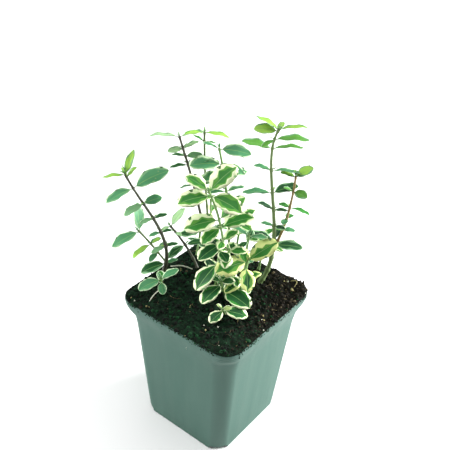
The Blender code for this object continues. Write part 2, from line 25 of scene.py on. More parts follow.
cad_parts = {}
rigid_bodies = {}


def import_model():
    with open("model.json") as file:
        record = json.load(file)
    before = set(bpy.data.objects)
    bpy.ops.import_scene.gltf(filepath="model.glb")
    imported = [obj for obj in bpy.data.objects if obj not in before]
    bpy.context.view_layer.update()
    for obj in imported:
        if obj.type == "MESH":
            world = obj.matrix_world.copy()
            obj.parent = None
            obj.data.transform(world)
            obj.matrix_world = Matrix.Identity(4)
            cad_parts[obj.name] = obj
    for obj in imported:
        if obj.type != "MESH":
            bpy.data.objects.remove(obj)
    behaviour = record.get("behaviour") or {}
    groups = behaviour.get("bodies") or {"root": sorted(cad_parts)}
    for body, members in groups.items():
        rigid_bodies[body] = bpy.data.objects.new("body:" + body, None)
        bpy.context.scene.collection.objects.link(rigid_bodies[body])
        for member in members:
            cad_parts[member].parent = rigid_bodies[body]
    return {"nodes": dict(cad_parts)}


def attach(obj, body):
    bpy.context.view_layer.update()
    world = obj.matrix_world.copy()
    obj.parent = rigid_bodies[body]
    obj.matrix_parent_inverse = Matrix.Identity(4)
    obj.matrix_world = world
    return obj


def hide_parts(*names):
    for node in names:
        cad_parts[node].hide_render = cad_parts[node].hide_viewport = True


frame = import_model()

log = logging.getLogger("euonymus")

Pair = tuple[float, float]
Triple = tuple[float, float, float]
Row = tuple[float, float, float, float]
LeafPlan = tuple[Vector, float, float, float, float]

BODY = "root"
MM = 0.001
UP = Vector((0, 0, 1))
SRGB = 255.0
FINER = 3.7

# Pot and soil, in millimetres
POT_HEIGHT = 99.0
RIM_WIDTH = 90.0
LIP_WIDTH = 88.5
BODY_TOP_WIDTH = 80.5
BASE_WIDTH = 67.5
RIM_CORNER = 12.0
BEAD_FOOT = POT_HEIGHT - 2.0
LIP_FOOT = POT_HEIGHT - 6.0
BODY_TOP = LIP_FOOT - 8.5
WALL = 1.1
FLOOR = 1.6
CLEAR = 0.3
DRAIN_RADIUS = 4.0
DRAIN_OFFSET = 19.0
SOIL_EDGE = 98.3
SOIL_PROFILE = ((1.0, 0.0), (0.8, 0.8), (0.5, 1.4), (0.0, 1.7))

# Stems of the rule, in millimetres
STEM_TIP_RADIUS = 0.7
FOOT_FLARE = 0.35
FLARE_HEIGHT = 4.0
GUARD_SIDES = 6
GUARD_STEP = 9.0
TAPER_POWER = 0.8
BRANCH_STUB = 3.0
SPLIT_BELOW_LEAVES = 1.0

# Leaves of the rule: shares of a leaf's length, angles in degrees, thicknesses in millimetres. The outline's
# two powers are for the foot and the tip.
PETIOLE = 0.1
PETIOLE_HALF_WIDTH = 0.4
PETIOLE_HALF_DEPTH = 0.28
LEAF_HALF_DEPTH = 0.2
LEAF_FOOT_POWER = 0.55
LEAF_TIP_POWER = 0.5
LEAF_FOLD = 0.16
LEAF_CURL = 26.0
GUARD_STATIONS = (0.36, 0.72)
ROOT_DEPTH = 0.1
TIP_STUB = 1.0
LEAN_SHARE = 0.7
SPARE = 0.45
OWN_SPARE = 0.22
DEPTH_SPARE = 0.7
BLADE_START = 0.24
SOIL_CLEAR = 0.7
AZIMUTH_JITTER = 9.0
RISE_JITTER = 7.0
ROLL_JITTER = 14.0
LENGTH_JITTER = 0.1
TRIES = ((0, 0, 1.0), (14, 8, 1.0), (-14, 8, 1.0), (26, 16, 0.92), (-26, 16, 0.92),
         (0, 28, 0.9), (38, 24, 0.82), (-38, 24, 0.82), (0, -22, 0.8), (0, 44, 0.75))


class Place(Enum):
    """Part of the pot that a shoot stands in, which is also the piece that it is joined into."""

    FRONT = "front"
    RIGHT = "right"
    LEFT = "left"
    BACK = "back"


class BarkTone(Enum):
    """Name and colour of a shoot's bark."""

    GREEN = ("green_bark", (112, 148, 84))
    OLIVE = ("olive_bark", (94, 116, 66))
    BROWN = ("brown_bark", (62, 65, 46))
    RED = ("red_bark", (128, 108, 62))


class LeafTone(Enum):
    """Name and colour of one part of a leaf."""

    DEEP = ("leaf_deep_green", (28, 84, 40))
    SHADE = ("leaf_dark_green", (26, 66, 42))
    MID = ("leaf_mid_green", (50, 124, 46))
    # Blue-green: partly the leaves' own tone, partly painted sheen of a glossy leaf top
    BLUE = ("leaf_blue_green", (72, 136, 90))
    GREY = ("leaf_grey_green", (112, 158, 114))
    FRESH = ("leaf_fresh_green", (94, 158, 62))
    LIME = ("leaf_lime", (150, 198, 78))
    PALE = ("leaf_pale_green", (166, 206, 150))
    BUD = ("leaf_bud_green", (190, 210, 132))
    CREAM = ("leaf_cream", (236, 246, 200))
    YELLOW = ("leaf_yellow", (230, 240, 156))
    EDGE = ("leaf_pale_edge", (200, 226, 184))
    RIB = ("leaf_rib", (120, 168, 96))
    BACK = ("leaf_underside", (120, 160, 106))


class SoilTone(Enum):
    """Name and colour of a loose bit on the soil."""

    BLACK = ("peat_black", (10, 15, 10))
    BROWN = ("peat_brown", (34, 29, 21))
    # Tan bits; on the crumbs towards the back right the tan is painted highlights
    TAN = ("peat_tan", (84, 75, 57))
    MOSS = ("peat_moss", (22, 58, 32))
    # Pale grit on the soil; on the wall this pale tone is painted glints, standing in for highlights on water
    # drops
    PALE = ("pale_grit", (206, 208, 190))
    STRAW = ("straw", (158, 150, 104))


def tone_index(tone: Enum) -> int:
    """Place of a tone among its kind, which is also its finish's."""
    return list(type(tone)).index(tone)


@dataclass(frozen=True)
class Shoot:
    """One shoot of the plant, in millimetres and degrees.

    foot is where it leaves the soil, or the height of its fork on its parent. way holds the points that it
    passes. bare is the length with no leaves. gaps, leaf and rise run from the tip down, and their last
    number holds for all pairs below. face is the azimuth of the top pair, turn what every second pair is
    turned by, and tilt how much one leaf of a pair rises and its mate falls.
    """

    name: str
    parent: str | None
    foot: Pair | float
    way: tuple[Triple, ...]
    girth: float
    bare: float
    gaps: tuple[float, ...]
    leaf: tuple[float, ...]
    broad: float
    face: float
    turn: float
    rise: tuple[float, ...]
    tilt: Pair


SHOOTS = (
    Shoot("centre_show", None, (3, 3), ((0, 2, 142), (-9, -2, 172)), 0.9, 26, (1.5, 15, 10),
          (21, 20, 20, 15, 12), 0.52, 82, -82, (14, 4, 4), (8, -14)),
    Shoot("right_low", None, (16, 0), ((16, 4, 114), (15, 10, 127)), 0.8, 14, (1.5, 10), (18, 18, 12),
          0.5, 68, -118, (6, -8, 0), (26, -34)),
    Shoot("front_low", None, (9, -2.5), ((8, -4.5, 108), (7, -6.5, 116)), 0.75, 7, (1.5, 7), (14, 20, 11),
          0.56, 255, 98, (-4, -2), (-28, -26)),
    Shoot("front_foot", None, (17, -14), ((18, -16, 103), (18, -18, 107)), 0.6, 4, (1.5, 4), (11, 13),
          0.58, 262, 108, (6, 0), (-16, -4)),
    Shoot("centre_low", None, (-1.5, 0), ((-0.5, -0.8, 118), (0.5, 0.2, 138)), 0.8, 13, (1.5, 10, 9),
          (17, 14, 20, 12), 0.55, 250, 100, (2, 0), (-28, -14)),
    Shoot("centre_right", None, (9, 4), ((8, 3, 118), (5, 2, 134)), 0.75, 5, (2, 8), (13, 12, 11),
          0.56, 30, 76, (4, 0), (-6, -10)),
    Shoot("right_tall", None, (14.5, 25.6), ((17.5, 33, 135), (15.4, 26.8, 179), (21, 21.5, 214)), 1.6, 25,
          (4, 7.5, 13.5, 11, 10, 9, 10), (15, 16, 16, 18, 17, 9, 7, 8, 13), 0.42, 34, 22, (14, 4, 4),
          (-6, 4)),
    Shoot("right_fork", "right_tall", 124, ((23.4, 36, 148), (27.4, 34.6, 181)), 0.95, 8, (5, 13, 9),
          (9, 11, 9, 7, 7), 0.56, 52, 50, (34, 8, 2), (4, -4)),
    Shoot("left_tall", None, (-41, -5.5), ((-41.1, -6, 125.3), (-51.1, -11.3, 147), (-64, -16, 168)), 1.35, 4,
          (10.5, 11.5, 11, 10, 10), (13, 23, 14, 9, 8, 7, 8), 0.46, 68, -20, (44, 2, 0), (6, 0)),
    Shoot("left_fork", "left_tall", 106, ((-52, -7, 117), (-60, -10, 125)), 0.65, 7, (2, 7), (18, 13, 8),
          0.44, 250, -120, (4, 10, 0), (-14, 12)),
    Shoot("left_foot", None, (-29, -20), ((-29.4, -20.5, 103), (-29.8, -21, 107)), 0.6, 3, (1.5, 3), (14, 12),
          0.5, 250, -118, (10, 4), (-14, 6)),
    Shoot("back_left_tall", None, (-16, 13), ((-28, 13, 146), (-41, 8, 193)), 1.2, 50, (6.5, 12, 14),
          (16, 10, 12, 9), 0.38, 40, 30, (4, 0), (0, 0)),
    Shoot("back_thin", None, (-22, 22), ((-27, 19, 150), (-30, 18.5, 196)), 0.75, 58, (6, 14), (15, 10, 9),
          0.34, 34, 40, (4, 2), (0, 0)),
    Shoot("centre_back", None, (-8, 20), ((-11, 22, 143), (-21, 22, 187)), 1.0, 30, (8, 9, 12),
          (18, 14, 12, 12, 10), 0.44, 10, 50, (-8, 0), (0, 0)),
    Shoot("left_small", None, (-25, 10), ((-34, 10, 112), (-47, 7, 126)), 0.95, 12, (4, 11, 8),
          (12, 8, 15, 8), 0.42, 60, 80, (36, 0), (0, 0)),
    Shoot("middle_right", None, (6, 16), ((7, 18, 120), (8, 19, 138)), 0.8, 13, (4, 9), (12, 11, 9),
          0.46, 14, 80, (16, 0), (0, 0)),
    Shoot("back_corner", None, (-30, 31), ((-34, 34, 122), (-37, 36, 142)), 0.85, 12, (3, 10),
          (15, 17, 13, 11), 0.45, 120, 84, (16, 4), (0, 0)),
    Shoot("back_middle", None, (-14, 36), ((-15, 40, 114), (-16, 42, 129)), 0.85, 11, (3, 9), (14, 16, 12),
          0.45, 80, 84, (16, 2), (0, 0)),
    Shoot("back_right", None, (6, 36), ((6, 39, 112), (5, 42, 124)), 0.8, 9, (3, 8), (12, 14, 11),
          0.46, 100, 84, (16, 0), (0, 0)),
    Shoot("left_back", None, (-36, 22), ((-37, 25, 108), (-38, 28, 119)), 0.75, 8, (3, 8), (13, 14, 11),
          0.46, 160, 82, (16, 0), (0, 0)),
)

# Leaves that stand out, placed one by one: for each shoot its upper pairs from the tip down. A pair is the
# distance to the one above it and two leaves of azimuth, slope against the level, roll and length.
# The pairs below them follow the shoot's row.
PLACED: dict[str, tuple] = {
    "centre_show": (
        (0.7, (75, 29, 20, 22), (-163, 24, -15, 16)),
        (2.8, (16, -18, 28, 20), (-128, -10, -25, 19.5)),
        (17, (56, 40, 5, 20), (-130, -12, -25, 21)),
        (5, (60, 7, 10, 21), (-104, -26, -10, 15)),
    ),
    "right_low": (
        (1.2, (54, 32, 25, 20), (-130, -14, -38, 20)),
        (3.6, (-48, -25, 0, 15.5), (132, 12, 0, 14)),
    ),
    "front_low": (
        (0.8, (20, 16, 15, 9), (-160, 10, 0, 8)),
        (2.4, (78, 14, 0, 12), (-98, -21, 0, 17)),
        (5.5, (12, -13, 10, 20.5), (-142, -22, 0, 12)),
    ),
    "front_foot": (
        (0.5, (30, 18, 30, 5.5), (-150, 40, 0, 5)),
        (1.8, (28, -6, 12, 14.5), (-100, -18, -10, 11)),
        (2.6, (96, 4, 0, 9), (176, -4, 0, 11)),
    ),
    "centre_low": (
        (1.2, (60, 25, 20, 14.5), (-102, -15, -10, 17)),
        (5, (-28, 0, 10, 12), (152, 8, 0, 12)),
        (9, (78, 14, 0, 14), (-97, -34, 0, 21)),
    ),
    "centre_right": (
        (1, (30, 6, 15, 11), (-150, 4, -15, 11)),
        (2.2, (112, 10, 0, 11), (-64, -10, 0, 12)),
        (8, (28, -2, 15, 13), (-160, -6, 0, 12)),
        (8, (110, 4, 0, 12), (-60, -16, 0, 12)),
        (8, (20, -8, 10, 12), (164, 12, 0, 12)),
    ),
    "right_tall": (
        (0.5, (36, 8, -8, 15), (-165, 19, 5, 13.5)),
        (1.3, (100, 24, 0, 7), (-140, 4, -35, 12.5)),
        (6.6, (34, 3, -4, 18), (-112, -22, 0, 8)),
        (6.8, (33, 6, -12, 16.5), (-150, 8, -3, 16.5)),
        (16.3, (35, -3, -15, 16), (-150, 12, 0, 10)),
        (17, (50, 13, 10, 15), (-143, -3, 8, 16.5)),
        (13, (30, 4, 0, 8), (-150, 22, 0, 10)),
        (12.5, (30, -8, 15, 8), (-150, 10, 0, 8)),
        (10, (60, 4, 0, 10), (-148, 6, 0, 16.5)),
        (4.5, (32, 0, 10, 17), (-120, -28, -10, 14.5)),
    ),
    "right_fork": (
        (1, (50, 28, 15, 11), (-150, 14, 0, 9)),
        (11, (4, -2, 30, 9), (-172, 4, 0, 8)),
        (12, (15, -8, -18, 12), (-165, 6, 0, 7)),
    ),
    "left_tall": (
        (0.8, (95, 57, 12, 17), (-130, -4, 0, 14.5)),
        (1.9, (60, 45, 0, 9), (-162, 46, 0, 9)),
        (7.8, (58, 22, 12, 24), (-118, -22, 0, 18.5)),
        (12, (60, 12, 35, 12), (-108, -18, 0, 14)),
        (11.5, (50, 14, 0, 9), (-115, -12, 0, 9)),
        (11, (45, 12, 0, 7), (-118, -10, 0, 8)),
        (11, (52, 8, 0, 8), (-116, -16, 0, 10)),
        (14, (60, 12, 0, 8), (-122, -14, -10, 17)),
    ),
    "left_fork": (
        (1.5, (142, 62, 40, 18), (-115, -21, 0, 19)),
        (11, (80, 10, 0, 8), (-100, -19, 18, 14.5)),
    ),
    "left_foot": (
        (0.6, (60, 22, 0, 12.5), (-112, -12, -10, 15)),
        (2.4, (-42, -14, 0, 9.5), (138, 16, 0, 9)),
    ),
    "left_small": (
        (0.7, (76, 42, 0, 14), (-130, -20, 0, 7)),
        (5, (-20, 10, 0, 7), (160, 10, 0, 7)),
        (10.5, (50, 4, 0, 14), (-110, -27, -10, 13.5)),
    ),
    "back_left_tall": (
        (0.5, (48, 12, -5, 14), (-137, 2, 12, 17)),
        (8, (60, 20, 0, 10), (-130, -8, -30, 9)),
        (5, (40, 2, 30, 10), (-150, 0, 0, 8)),
        (6, (45, 12, 0, 14), (-132, -8, 5, 10.5)),
    ),
    "back_thin": (
        (0.5, (33, -7, 0, 15), (-135, -8, 0, 15)),
        (6, (40, -6, 0, 7), (-150, 26, 0, 8)),
        (12, (34, -8, 15, 9), (-165, 10, 0, 8)),
    ),
    "centre_back": (
        (0.9, (32, -5, 20, 18.5), (-147, 12, 0, 12.5)),
        (10, (20, -16, 10, 14), (-138, -3, -20, 20)),
        (6, (58, -4, 15, 15), (-120, -10, -15, 15)),
    ),
}


@dataclass(frozen=True)
class Variegation:
    """How the leaves of a shoot are coloured.

    tips gives the tones of its upper pairs from the tip down, and mature the tones that all leaves below
    them draw from. margin_share is the margin's share of a leaf's half width, lowest and highest, and flush
    is how much wider the margin gets towards the leaf's tip.
    """

    tips: tuple[LeafTone, ...]
    mature: tuple[LeafTone, ...]
    blend: LeafTone
    margin: LeafTone
    margin_share: Pair
    flush: float = 0.9

    def tone(self, order: int, rng: random.Random) -> LeafTone:
        """Tone of a leaf of a pair, counted from the tip down."""
        return self.tips[order] if order < len(self.tips) else rng.choice(self.mature)


def tones(names: str) -> tuple[LeafTone, ...]:
    """Leaf tones by their names."""
    return tuple(LeafTone[name] for name in names.split())


SHOW = Variegation(tones("MID MID"), tones("MID MID"), *tones("FRESH CREAM"), (0.2, 0.4), 1.6)
GOLD = Variegation(tones("MID"), tones("MID DEEP"), *tones("FRESH YELLOW"), (0.32, 0.52))
NEAT = Variegation(tones("DEEP"), tones("DEEP"), *tones("MID CREAM"), (0.13, 0.19), 4.5)
BUDDED = Variegation(tones("BUD DEEP"), tones("DEEP"), *tones("MID CREAM"), (0.15, 0.22), 4.0)
DARK = Variegation(tones("DEEP"), tones("SHADE DEEP"), *tones("MID CREAM"), (0.12, 0.24), 2.0)
CREAMY = Variegation(tones("MID"), tones("DEEP MID"), *tones("FRESH CREAM"), (0.26, 0.46))
FINE = Variegation(tones("BLUE"), tones("MID BLUE DEEP"), *tones("GREY EDGE"), (0.1, 0.2), 1.5)
STREAKED = Variegation(tones("BLUE BLUE"), tones("BLUE DEEP"), *tones("GREY EDGE"), (0.12, 0.3), 1.2)
LIME_TOP = Variegation(tones("LIME LIME FRESH FRESH BLUE"), tones("DEEP SHADE BLUE"), *tones("GREY EDGE"),
                       (0.05, 0.11))
LIME_FORK = Variegation(tones("LIME FRESH"), tones("FRESH MID BLUE"), *tones("GREY EDGE"), (0.05, 0.12))
LIME_CROWN = Variegation(tones("LIME LIME BLUE"), tones("DEEP BLUE GREY"), *tones("GREY EDGE"),
                         (0.05, 0.1), 2.4)
GREY_FORK = Variegation(tones("BLUE LIME"), tones("GREY BLUE"), *tones("GREY EDGE"), (0.06, 0.12))
PALE_TOP = Variegation(tones("PALE PALE"), tones("DEEP GREY DEEP"), *tones("GREY EDGE"), (0.08, 0.16))
OLIVE_TOP = Variegation(tones("LIME MID"), tones("MID GREY"), *tones("FRESH EDGE"), (0.06, 0.14))


@dataclass(frozen=True)
class Dress:
    """Where a shoot belongs and how it looks.

    fuller is how much longer and wider its leaves are than the rule's, crown the same for its top pair, and
    buds how much longer the buds at its tip are than most.
    """

    place: Place
    bark: BarkTone
    leaves: Variegation
    fuller: Pair = (1.06, 1.25)
    crown: Pair = (1.0, 1.0)
    buds: float = 1.0


DRESSES = {
    "centre_show": Dress(Place.FRONT, BarkTone.GREEN, SHOW, (1.06, 1.27)),
    "right_low": Dress(Place.FRONT, BarkTone.GREEN, GOLD, (1.12, 1.32)),
    "front_low": Dress(Place.FRONT, BarkTone.GREEN, NEAT, (1.06, 1.22)),
    "front_foot": Dress(Place.FRONT, BarkTone.GREEN, BUDDED),
    "centre_low": Dress(Place.FRONT, BarkTone.GREEN, DARK, (1.05, 1.18)),
    "centre_right": Dress(Place.FRONT, BarkTone.GREEN, CREAMY, (1.05, 1.18)),
    "right_tall": Dress(Place.RIGHT, BarkTone.OLIVE, LIME_TOP, (1.12, 1.4), (1.0, 0.9), 1.3),
    "right_fork": Dress(Place.RIGHT, BarkTone.RED, LIME_FORK, (1.1, 1.35)),
    "middle_right": Dress(Place.RIGHT, BarkTone.GREEN, FINE),
    "back_right": Dress(Place.RIGHT, BarkTone.GREEN, CREAMY),
    "left_tall": Dress(Place.LEFT, BarkTone.BROWN, LIME_CROWN, (1.05, 1.25), (0.95, 0.62), 1.7),
    "left_fork": Dress(Place.LEFT, BarkTone.OLIVE, GREY_FORK, (1.08, 1.35)),
    "left_foot": Dress(Place.LEFT, BarkTone.GREEN, FINE),
    "left_small": Dress(Place.LEFT, BarkTone.BROWN, PALE_TOP, (1.12, 1.3)),
    "back_left_tall": Dress(Place.BACK, BarkTone.BROWN, PALE_TOP, (1.1, 1.45)),
    "back_thin": Dress(Place.BACK, BarkTone.OLIVE, OLIVE_TOP),
    "centre_back": Dress(Place.BACK, BarkTone.GREEN, STREAKED, (1.08, 1.4)),
    "back_corner": Dress(Place.BACK, BarkTone.GREEN, SHOW),
    "back_middle": Dress(Place.BACK, BarkTone.GREEN, CREAMY),
    "left_back": Dress(Place.BACK, BarkTone.GREEN, FINE),
}

# Heaps of peat along the back of the rim: place and rise, in millimetres
SOIL_LUMPS = ((15.6, 43.0, 1.6), (27.0, 43.0, 1.2), (34.5, 42.5, 1.7), (41.0, 37.5, 1.5), (43.0, 30.0, 0.8),
              (22.0, 37.5, 0.8))

# Bits that stand out on the soil: place and radius in millimetres, and tone
PLACED_GRIT = (
    (-33.3, -41.2, 0.7, SoilTone.PALE), (-24.1, -40.2, 0.8, SoilTone.STRAW),
    (-22.6, -39.4, 0.5, SoilTone.STRAW), (-25.8, -42.3, 0.7, SoilTone.BROWN),
    (-36.9, -40.4, 0.6, SoilTone.STRAW), (21.6, -26.3, 0.7, SoilTone.PALE),
    (18.2, -34.0, 0.7, SoilTone.STRAW), (14.2, -30.5, 0.5, SoilTone.PALE), (28.6, -5.5, 0.7, SoilTone.TAN),
    (36.1, -0.1, 0.9, SoilTone.STRAW), (38.3, -2.4, 0.9, SoilTone.STRAW), (37.4, -3.4, 0.6, SoilTone.PALE),
    (43.4, -9.7, 0.6, SoilTone.PALE), (40.4, 24.3, 0.7, SoilTone.TAN), (39.5, 14.3, 0.8, SoilTone.TAN),
    (43.6, 36.2, 0.6, SoilTone.PALE), (35.2, 33.1, 1.1, SoilTone.STRAW), (28.5, 38.4, 0.8, SoilTone.PALE),
    (26.0, 37.5, 0.7, SoilTone.STRAW), (31.8, -38.0, 0.4, SoilTone.PALE), (34.0, -38.0, 0.4, SoilTone.TAN),
)

# Bits on the wall: place and radius in millimetres, and tone. The pale ones are painted glints, pale specks
# that stand in for highlights on water drops; the black one is a dark dot of dirt
WALL_GRIT_AND_GLINTS = (
    (10.5, -42.0, 88.0, 0.45, SoilTone.PALE), (10.4, -42.0, 86.6, 0.3, SoilTone.PALE),
    (33.0, -41.4, 89.1, 0.5, SoilTone.PALE), (26.8, -36.5, 38.9, 0.4, SoilTone.BLACK),
)

# Twigs that lie on the soil: points seen from above, radius and lift in millimetres, and tone
FALLEN_TWIGS = (
    (((-28.6, -22.0), (-26.9, -29.6), (-25.5, -35.9)), 0.45, 0.6, SoilTone.PALE),
    (((-40.5, 0.5), (-33.0, 4.6), (-26.6, 6.6)), 0.5, 0.5, SoilTone.PALE),
    (((29.4, 40.6), (33.6, 41.0), (34.6, 35.0)), 0.35, 0.5, SoilTone.STRAW),
    (((20.2, 24.2), (22.6, 26.8), (24.2, 25.2)), 0.3, 0.5, SoilTone.TAN),
    (((37.4, 42.2), (38.2, 41.6), (39.6, 40.4)), 0.5, 2.4, SoilTone.BROWN),
)

# Lights: name, direction from the plant with its length in metres, side in metres and power in watts
LIGHTS = (
    ("right", (0.72, 0.97, 0.3), 0.6, 51.0),
    ("left", (-1.0, -0.62, 0.3), 0.6, 20.0),
    ("overhead", (0.0, 0.0, 1.2), 1.2, 8.0),
)


def linear(color: Triple) -> Row:
    """Turn a colour as a screen shows it, 0 to 255, into the linear colour that a shader takes."""
    parts = [value / SRGB for value in color]
    return (*(p / 12.92 if p <= 0.04045 else ((p + 0.055) / 1.055) ** 2.4 for p in parts), 1.0)


def feed(tree: NodeTree, node: Node, inputs: Mapping[str | int, object]) -> None:
    """Set a node's inputs, by name or number.

    Args:
        tree: The node tree.
        node: The node.
        inputs: For each input a value, or the socket that feeds it.
    """
    for key, source in inputs.items():
        if isinstance(source, NodeSocket):
            tree.links.new(source, node.inputs[key])
        else:
            node.inputs[key].default_value = source


def add_node(tree: NodeTree, kind: str, inputs: Mapping[str | int, object], **settings: object) -> Node:
    """Add a shader node.

    Args:
        tree: The node tree.
        kind: The node's type, without its prefix.
        inputs: For each input a value, or the socket that feeds it.
        settings: Properties of the node.

    Returns:
        The node.
    """
    node = tree.nodes.new("ShaderNode" + kind)
    for key, value in settings.items():
        setattr(node, key, value)
    feed(tree, node, inputs)
    return node


def new_group(name: str, inputs: Mapping[str, float], output: str) -> tuple[NodeTree, Node, Node]:
    """Start a shader node group that reads a vector and numbers and puts out one value.

    Args:
        name: Name of the group.
        inputs: Named number inputs and their defaults.
        output: Name of the output.

    Returns:
        The group, its input node and its output node.
    """
    group = bpy.data.node_groups.new(name, "ShaderNodeTree")
    group.interface.new_socket("Vector", in_out="INPUT", socket_type="NodeSocketVector")
    for label, value in inputs.items():
        socket = group.interface.new_socket(label, in_out="INPUT", socket_type="NodeSocketFloat")
        socket.default_value = value
    group.interface.new_socket(output, in_out="OUTPUT", socket_type="NodeSocketFloat")
    return group, group.nodes.new("NodeGroupInput"), group.nodes.new("NodeGroupOutput")


@cache
def mottle() -> NodeTree:
    """Shader group of soft patches between a low and a high value, for roughness and colour masks."""
    group, source, sink = new_group("mottle", {"Scale": 200.0, "Low": 0.0, "High": 1.0}, "Value")
    given = source.outputs
    grain = add_node(group, "TexNoise", {"Vector": given["Vector"], "Scale": given["Scale"], "Detail": 3.0})
    spread = add_node(group, "MapRange", {"Value": grain.outputs["Fac"], "From Min": 0.3, "From Max": 0.7,
                                          "To Min": given["Low"], "To Max": given["High"]})
    feed(group, sink, {"Value": spread.outputs["Result"]})
    return group


@cache
def pits() -> NodeTree:
    """Shader group with the height of a fine pitted surface: a coarse and a fine grain added up."""
    group, source, sink = new_group("pits", {"Scale": 600.0, "Fine": 0.4}, "Height")
    given = source.outputs
    finer = add_node(group, "Math", {0: given["Scale"], 1: FINER}, operation="MULTIPLY")
    coarse = add_node(group, "TexNoise", {"Vector": given["Vector"], "Scale": given["Scale"]})
    fine = add_node(group, "TexNoise", {"Vector": given["Vector"], "Scale": finer.outputs["Value"]})
    total = add_node(group, "Math", {0: fine.outputs["Fac"], 1: given["Fine"], 2: coarse.outputs["Fac"]},
                     operation="MULTIPLY_ADD")
    feed(group, sink, {"Height": total.outputs["Value"]})
    return group


@dataclass(frozen=True)
class Finish:
    """Surface with one or two colours, roughness that varies and a fine relief.

    color is as a screen shows it, 0 to 255, and second is what it drifts to in patches, if anything.
    roughness is lowest and highest. grain, relief and drift are noise scales for each metre, depth is the
    relief's height in millimetres, gloss is the strength of reflections, and stretch squeezes all the noise
    along X, Y and Z.
    """

    name: str
    color: Triple
    roughness: Pair
    grain: float
    relief: float
    depth: float
    gloss: float = 0.5
    stretch: Triple = (1.0, 1.0, 1.0)
    second: Triple | None = None
    drift: float = 60.0

    @cache
    def material(self) -> Material:
        """Build the node-based material, once."""
        material = bpy.data.materials.new(self.name)
        material.use_nodes = True
        tree = material.node_tree
        place = add_node(tree, "TexCoord", {}).outputs["Object"]
        vector = add_node(tree, "Mapping", {"Vector": place, "Scale": self.stretch}).outputs["Vector"]
        color = linear(self.color)
        if self.second:
            mask = add_node(tree, "Group", {"Vector": vector, "Scale": self.drift}, node_tree=mottle())
            mixed = {"Factor": mask.outputs["Value"], "A": color, "B": linear(self.second)}
            color = add_node(tree, "Mix", mixed, data_type="RGBA").outputs["Result"]
        low, high = self.roughness
        patches = add_node(tree, "Group", {"Vector": vector, "Scale": self.grain, "Low": low, "High": high},
                           node_tree=mottle())
        relief = add_node(tree, "Group", {"Vector": vector, "Scale": self.relief}, node_tree=pits())
        bump = add_node(tree, "Bump", {"Height": relief.outputs["Height"], "Distance": self.depth * MM})
        feed(tree, tree.nodes["Principled BSDF"], {
            "Base Color": color, "Roughness": patches.outputs["Value"], "Specular IOR Level": self.gloss,
            "Normal": bump.outputs["Normal"]})
        return material


LEAF_FINISHES = [Finish(*tone.value, (0.42, 0.58), 260.0, 1400.0, 0.08, 0.28) for tone in LeafTone]
BARK_FINISHES = [Finish(*tone.value, (0.5, 0.75), 500.0, 1600.0, 0.15, 0.5, (1, 1, 0.25))
                 for tone in BarkTone]
BIT_FINISHES = [Finish(*tone.value, (0.75, 0.98), 700.0, 1800.0, 0.3, 0.12) for tone in SoilTone]
PLASTIC = Finish("green_plastic", (62, 92, 82), (0.5, 0.64), 90.0, 1800.0, 0.04, 0.26, (1, 1, 0.08),
                 (66, 96, 86), 130.0)
GREEN_PEAT = Finish("green_peat", (7, 16, 10), (0.75, 0.98), 500.0, 1500.0, 0.5, 0.1, second=(21, 47, 29),
                    drift=260.0)
BROWN_PEAT = replace(GREEN_PEAT, name="brown_peat", color=(11, 13, 9), second=(28, 27, 19))
FLOOR_PAINT = Finish("floor_paint", (247, 247, 247), (0.85, 0.9), 3.0, 60.0, 0.02)


def add_object(name: str, data: ID) -> Object:
    """Put an object with this mesh, light or camera in the scene."""
    thing = bpy.data.objects.new(name, data)
    bpy.context.scene.collection.objects.link(thing)
    return thing


def add_shape(name: str, bm: BMesh, finishes: Sequence[Finish]) -> Object:
    """Put a shape in the scene, at the origin.

    Args:
        name: Name of the object.
        bm: The shape in millimetres, which is brought to metres and freed.
        finishes: Its finishes, in the order of its material indices.

    Returns:
        The object.
    """
    bmesh.ops.scale(bm, verts=bm.verts, vec=(MM, MM, MM))
    mesh = bpy.data.meshes.new(name)
    bm.to_mesh(mesh)
    bm.free()
    mesh.shade_smooth()
    for finish in finishes:
        mesh.materials.append(finish.material())
    return add_object(name, mesh)


def finish_piece(name: str, bm: BMesh, finishes: Sequence[Finish], nodes: Sequence[str]) -> Object:
    """Make a piece of the object.

    Args:
        name: Name of the piece.
        bm: Its shape in millimetres.
        finishes: Its finishes, in the order of its material indices.
        nodes: Solids that the piece stands for.

    Returns:
        The piece.
    """
    piece = add_shape(name, bm, finishes)
    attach(piece, BODY)
    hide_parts(*nodes)
    log.info("%s: %d faces, for %d solids", name, len(piece.data.polygons), len(nodes))
    return piece


def extrude_ring(bm: BMesh, ring: list[BMVert]) -> list[BMVert]:
    """Extrude a closed ring of edges.

    Args:
        bm: The bmesh.
        ring: The ring's vertices in order.

    Returns:
        The new ring, in the same order.
    """
    edges = [bm.edges.get(ends) for ends in zip(ring, ring[1:] + ring[:1])]
    made = bmesh.ops.extrude_edge_only(bm, edges=edges)["geom"]
    new = {part for part in made if isinstance(part, BMVert)}
    return [next(e.other_vert(v) for e in v.link_edges if e.other_vert(v) in new) for v in ring]


